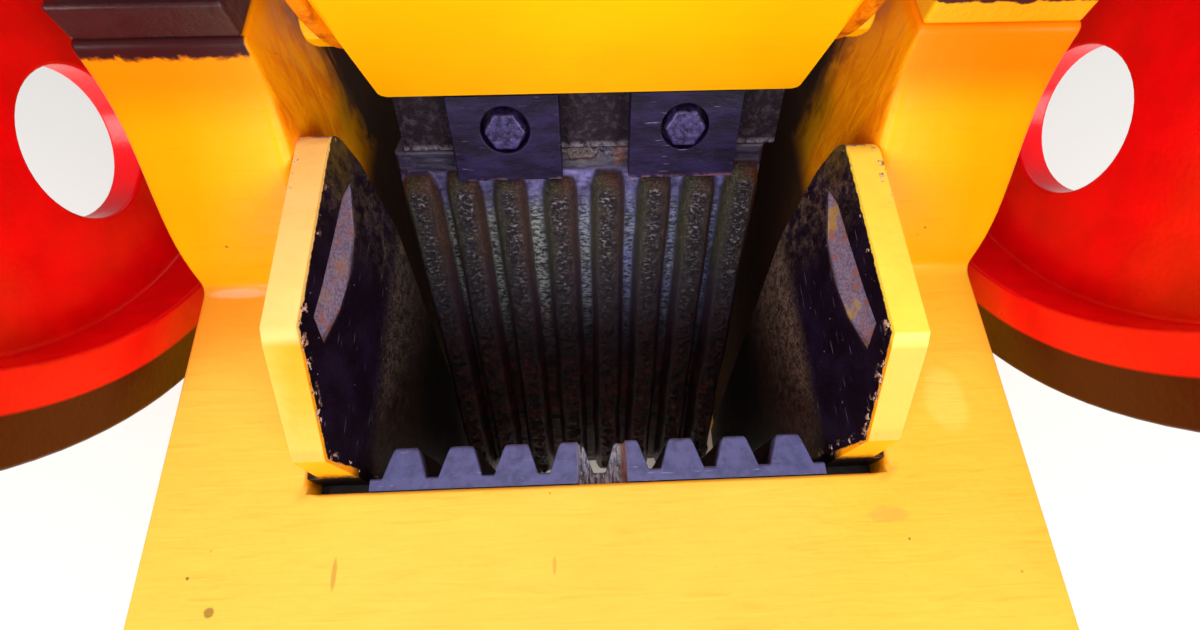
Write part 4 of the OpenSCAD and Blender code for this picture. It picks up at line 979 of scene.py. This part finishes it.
# Two clamp plates hold the swing jaw plate's top land, each with one sunk hexagon bolt.
# They are flame-cut plate under the same dark violet enamel, brushed over the bolt heads.
clamp_coat = Finish("clamp_enamel", Specular_IOR_Level=0.2)
s_line, t_line = jaw_lines(clamp_coat)
smear = clamp_coat.noise(9 * mm, 5.0, 0.62, clamp_coat.stretched(0, 2.5))
fine = clamp_coat.noise(1.8 * mm, 4.0, 0.6)
clamp_tone = clamp_coat.blend(smear.rise(0.35, 0.7), shade(15, 5, 30), shade(33, 23, 61))
scratch = clamp_coat.noise(1.2 * mm, 2.0, 0.5, clamp_coat.stretched(0, 14, (0, 0, 0.2))).rise(0.68, 0.74)
clamp_tone = clamp_coat.blend(scratch * 0.45, clamp_tone, shade(140, 130, 160))
worn_foot = s_line.rise(10.5 * mm, 13.3 * mm) * clamp_coat.noise(6 * mm, 3.0).rise(0.45, 0.6)
clamp_tone = clamp_coat.blend(worn_foot * 0.6, clamp_tone, shade(124, 84, 92))
clamp_coat.set("Base Color", clamp_tone)
clamp_coat.set("Roughness", fine * 0.25 + 0.3)
clamp_coat.relief(smear + fine * 0.25, 0.6 * mm)
bolt_coat = Finish("clamp_bolt_enamel", Specular_IOR_Level=0.35)
blobs = bolt_coat.noise(4 * mm, 3.0, 0.6)
bolt_coat.two_tone(blobs.rise(0.35, 0.65), shade(30, 20, 56), shade(60, 52, 102))
bolt_coat.set("Roughness", blobs * 0.3 + 0.16)
bolt_coat.relief(blobs, 0.8 * mm)
for side_name in ("left", "right"):
    eased("clamp_plate_" + side_name, 1.2 * mm, clamp_coat.material, "swing_jaw", 3)
    eased("clamp_bolt_" + side_name, 1.8 * mm, bolt_coat.material, "swing_jaw", 3)


# The toggle gear behind the swing jaw: seat bar, toggle plate, seat block, wedges and screws.
# Cast and forged pieces, unpainted, black with grease and stone dust.
iron = Finish("greasy_iron", Metallic=0.4, Specular_IOR_Level=0.4)
grease = iron.noise(18 * mm, 5.0, 0.6)
pores = iron.noise(1.5 * mm, 3.0)
iron.two_tone(grease.rise(0.35, 0.7), shade(56, 52, 50), shade(98, 86, 74))
iron.set("Roughness", grease * 0.3 + 0.4)
iron.relief(grease + pores * 0.4, 0.8 * mm)
for node in ("toggle_seat_block", "adjusting_wedges", "toggle_plate"):
    eased(node, 1.6 * mm, iron.material, "frame")
eased("toggle_seat_bar", 1.6 * mm, iron.material, "swing_jaw")
eased("adjusting_screws", 0.8 * mm, bolt_steel.material, "frame")


# The tension rod pulls the swing jaw back onto the toggle: a pinned eye, a rod, a spring and nuts.
# The spring is painted red, the rod and the nuts are bare steel with a little rust.
for node in ("tension_rod", "rod_pin", "rod_nuts"):
    eased(node, 0.8 * mm, bolt_steel.material, "swing_jaw")
spring_coat = Finish("spring_enamel", Specular_IOR_Level=0.5, Roughness=0.3)
spring_grain = spring_coat.noise(6 * mm, 3.0)
spring_coat.two_tone(spring_grain.rise(0.45, 0.7), shade(214, 8, 14), shade(150, 10, 10))
eased("tension_spring", 0, spring_coat.material, "frame", corner=80)


# A plain pale floor and soft studio light from above; the world fills the shadows.
floor_half = 6.0
floor_finish = Finish("pale_floor", Roughness=0.8)
floor_finish.shader.inputs["Base Color"].default_value = shade(232, 230, 226)
floor_mesh = bpy.data.meshes.new("floor")
corners = [(-1, -1), (1, -1), (1, 1), (-1, 1)]
floor_mesh.from_pydata([(floor_half * x, floor_half * y, 0) for x, y in corners], [], [(0, 1, 2, 3)])
floor_mesh.materials.append(floor_finish.material)
floor = bpy.data.objects.new("floor", floor_mesh)
bpy.context.scene.collection.objects.link(floor)

world = bpy.data.worlds.new("studio")
world.use_nodes = True
world.node_tree.nodes["Background"].inputs["Color"].default_value = (0.95, 0.97, 1.0, 1.0)
world.node_tree.nodes["Background"].inputs["Strength"].default_value = 0.4
bpy.context.scene.world = world


def soft_light(name, place, target, size, power):
    """A square soft light at place, facing target."""
    data = bpy.data.lights.new(name, "AREA")
    data.size = size
    data.energy = power
    lamp = bpy.data.objects.new(name, data)
    lamp.location = place
    lamp.rotation_euler = (Vector(target) - Vector(place)).to_track_quat("-Z", "Y").to_euler()
    bpy.context.scene.collection.objects.link(lamp)


mouth = (0, 0, 0.5)
soft_light("left", (-1.5, -2.1, 1.5), mouth, 1.6, 62)
soft_light("right", (1.5, -2.1, 1.5), mouth, 1.6, 62)
soft_light("top", (0, -0.3, 3.0), mouth, 2.2, 24)
soft_light("back", (0.8, 2.6, 1.8), mouth, 1.8, 20)

bpy.context.scene.view_settings.view_transform = "Standard"
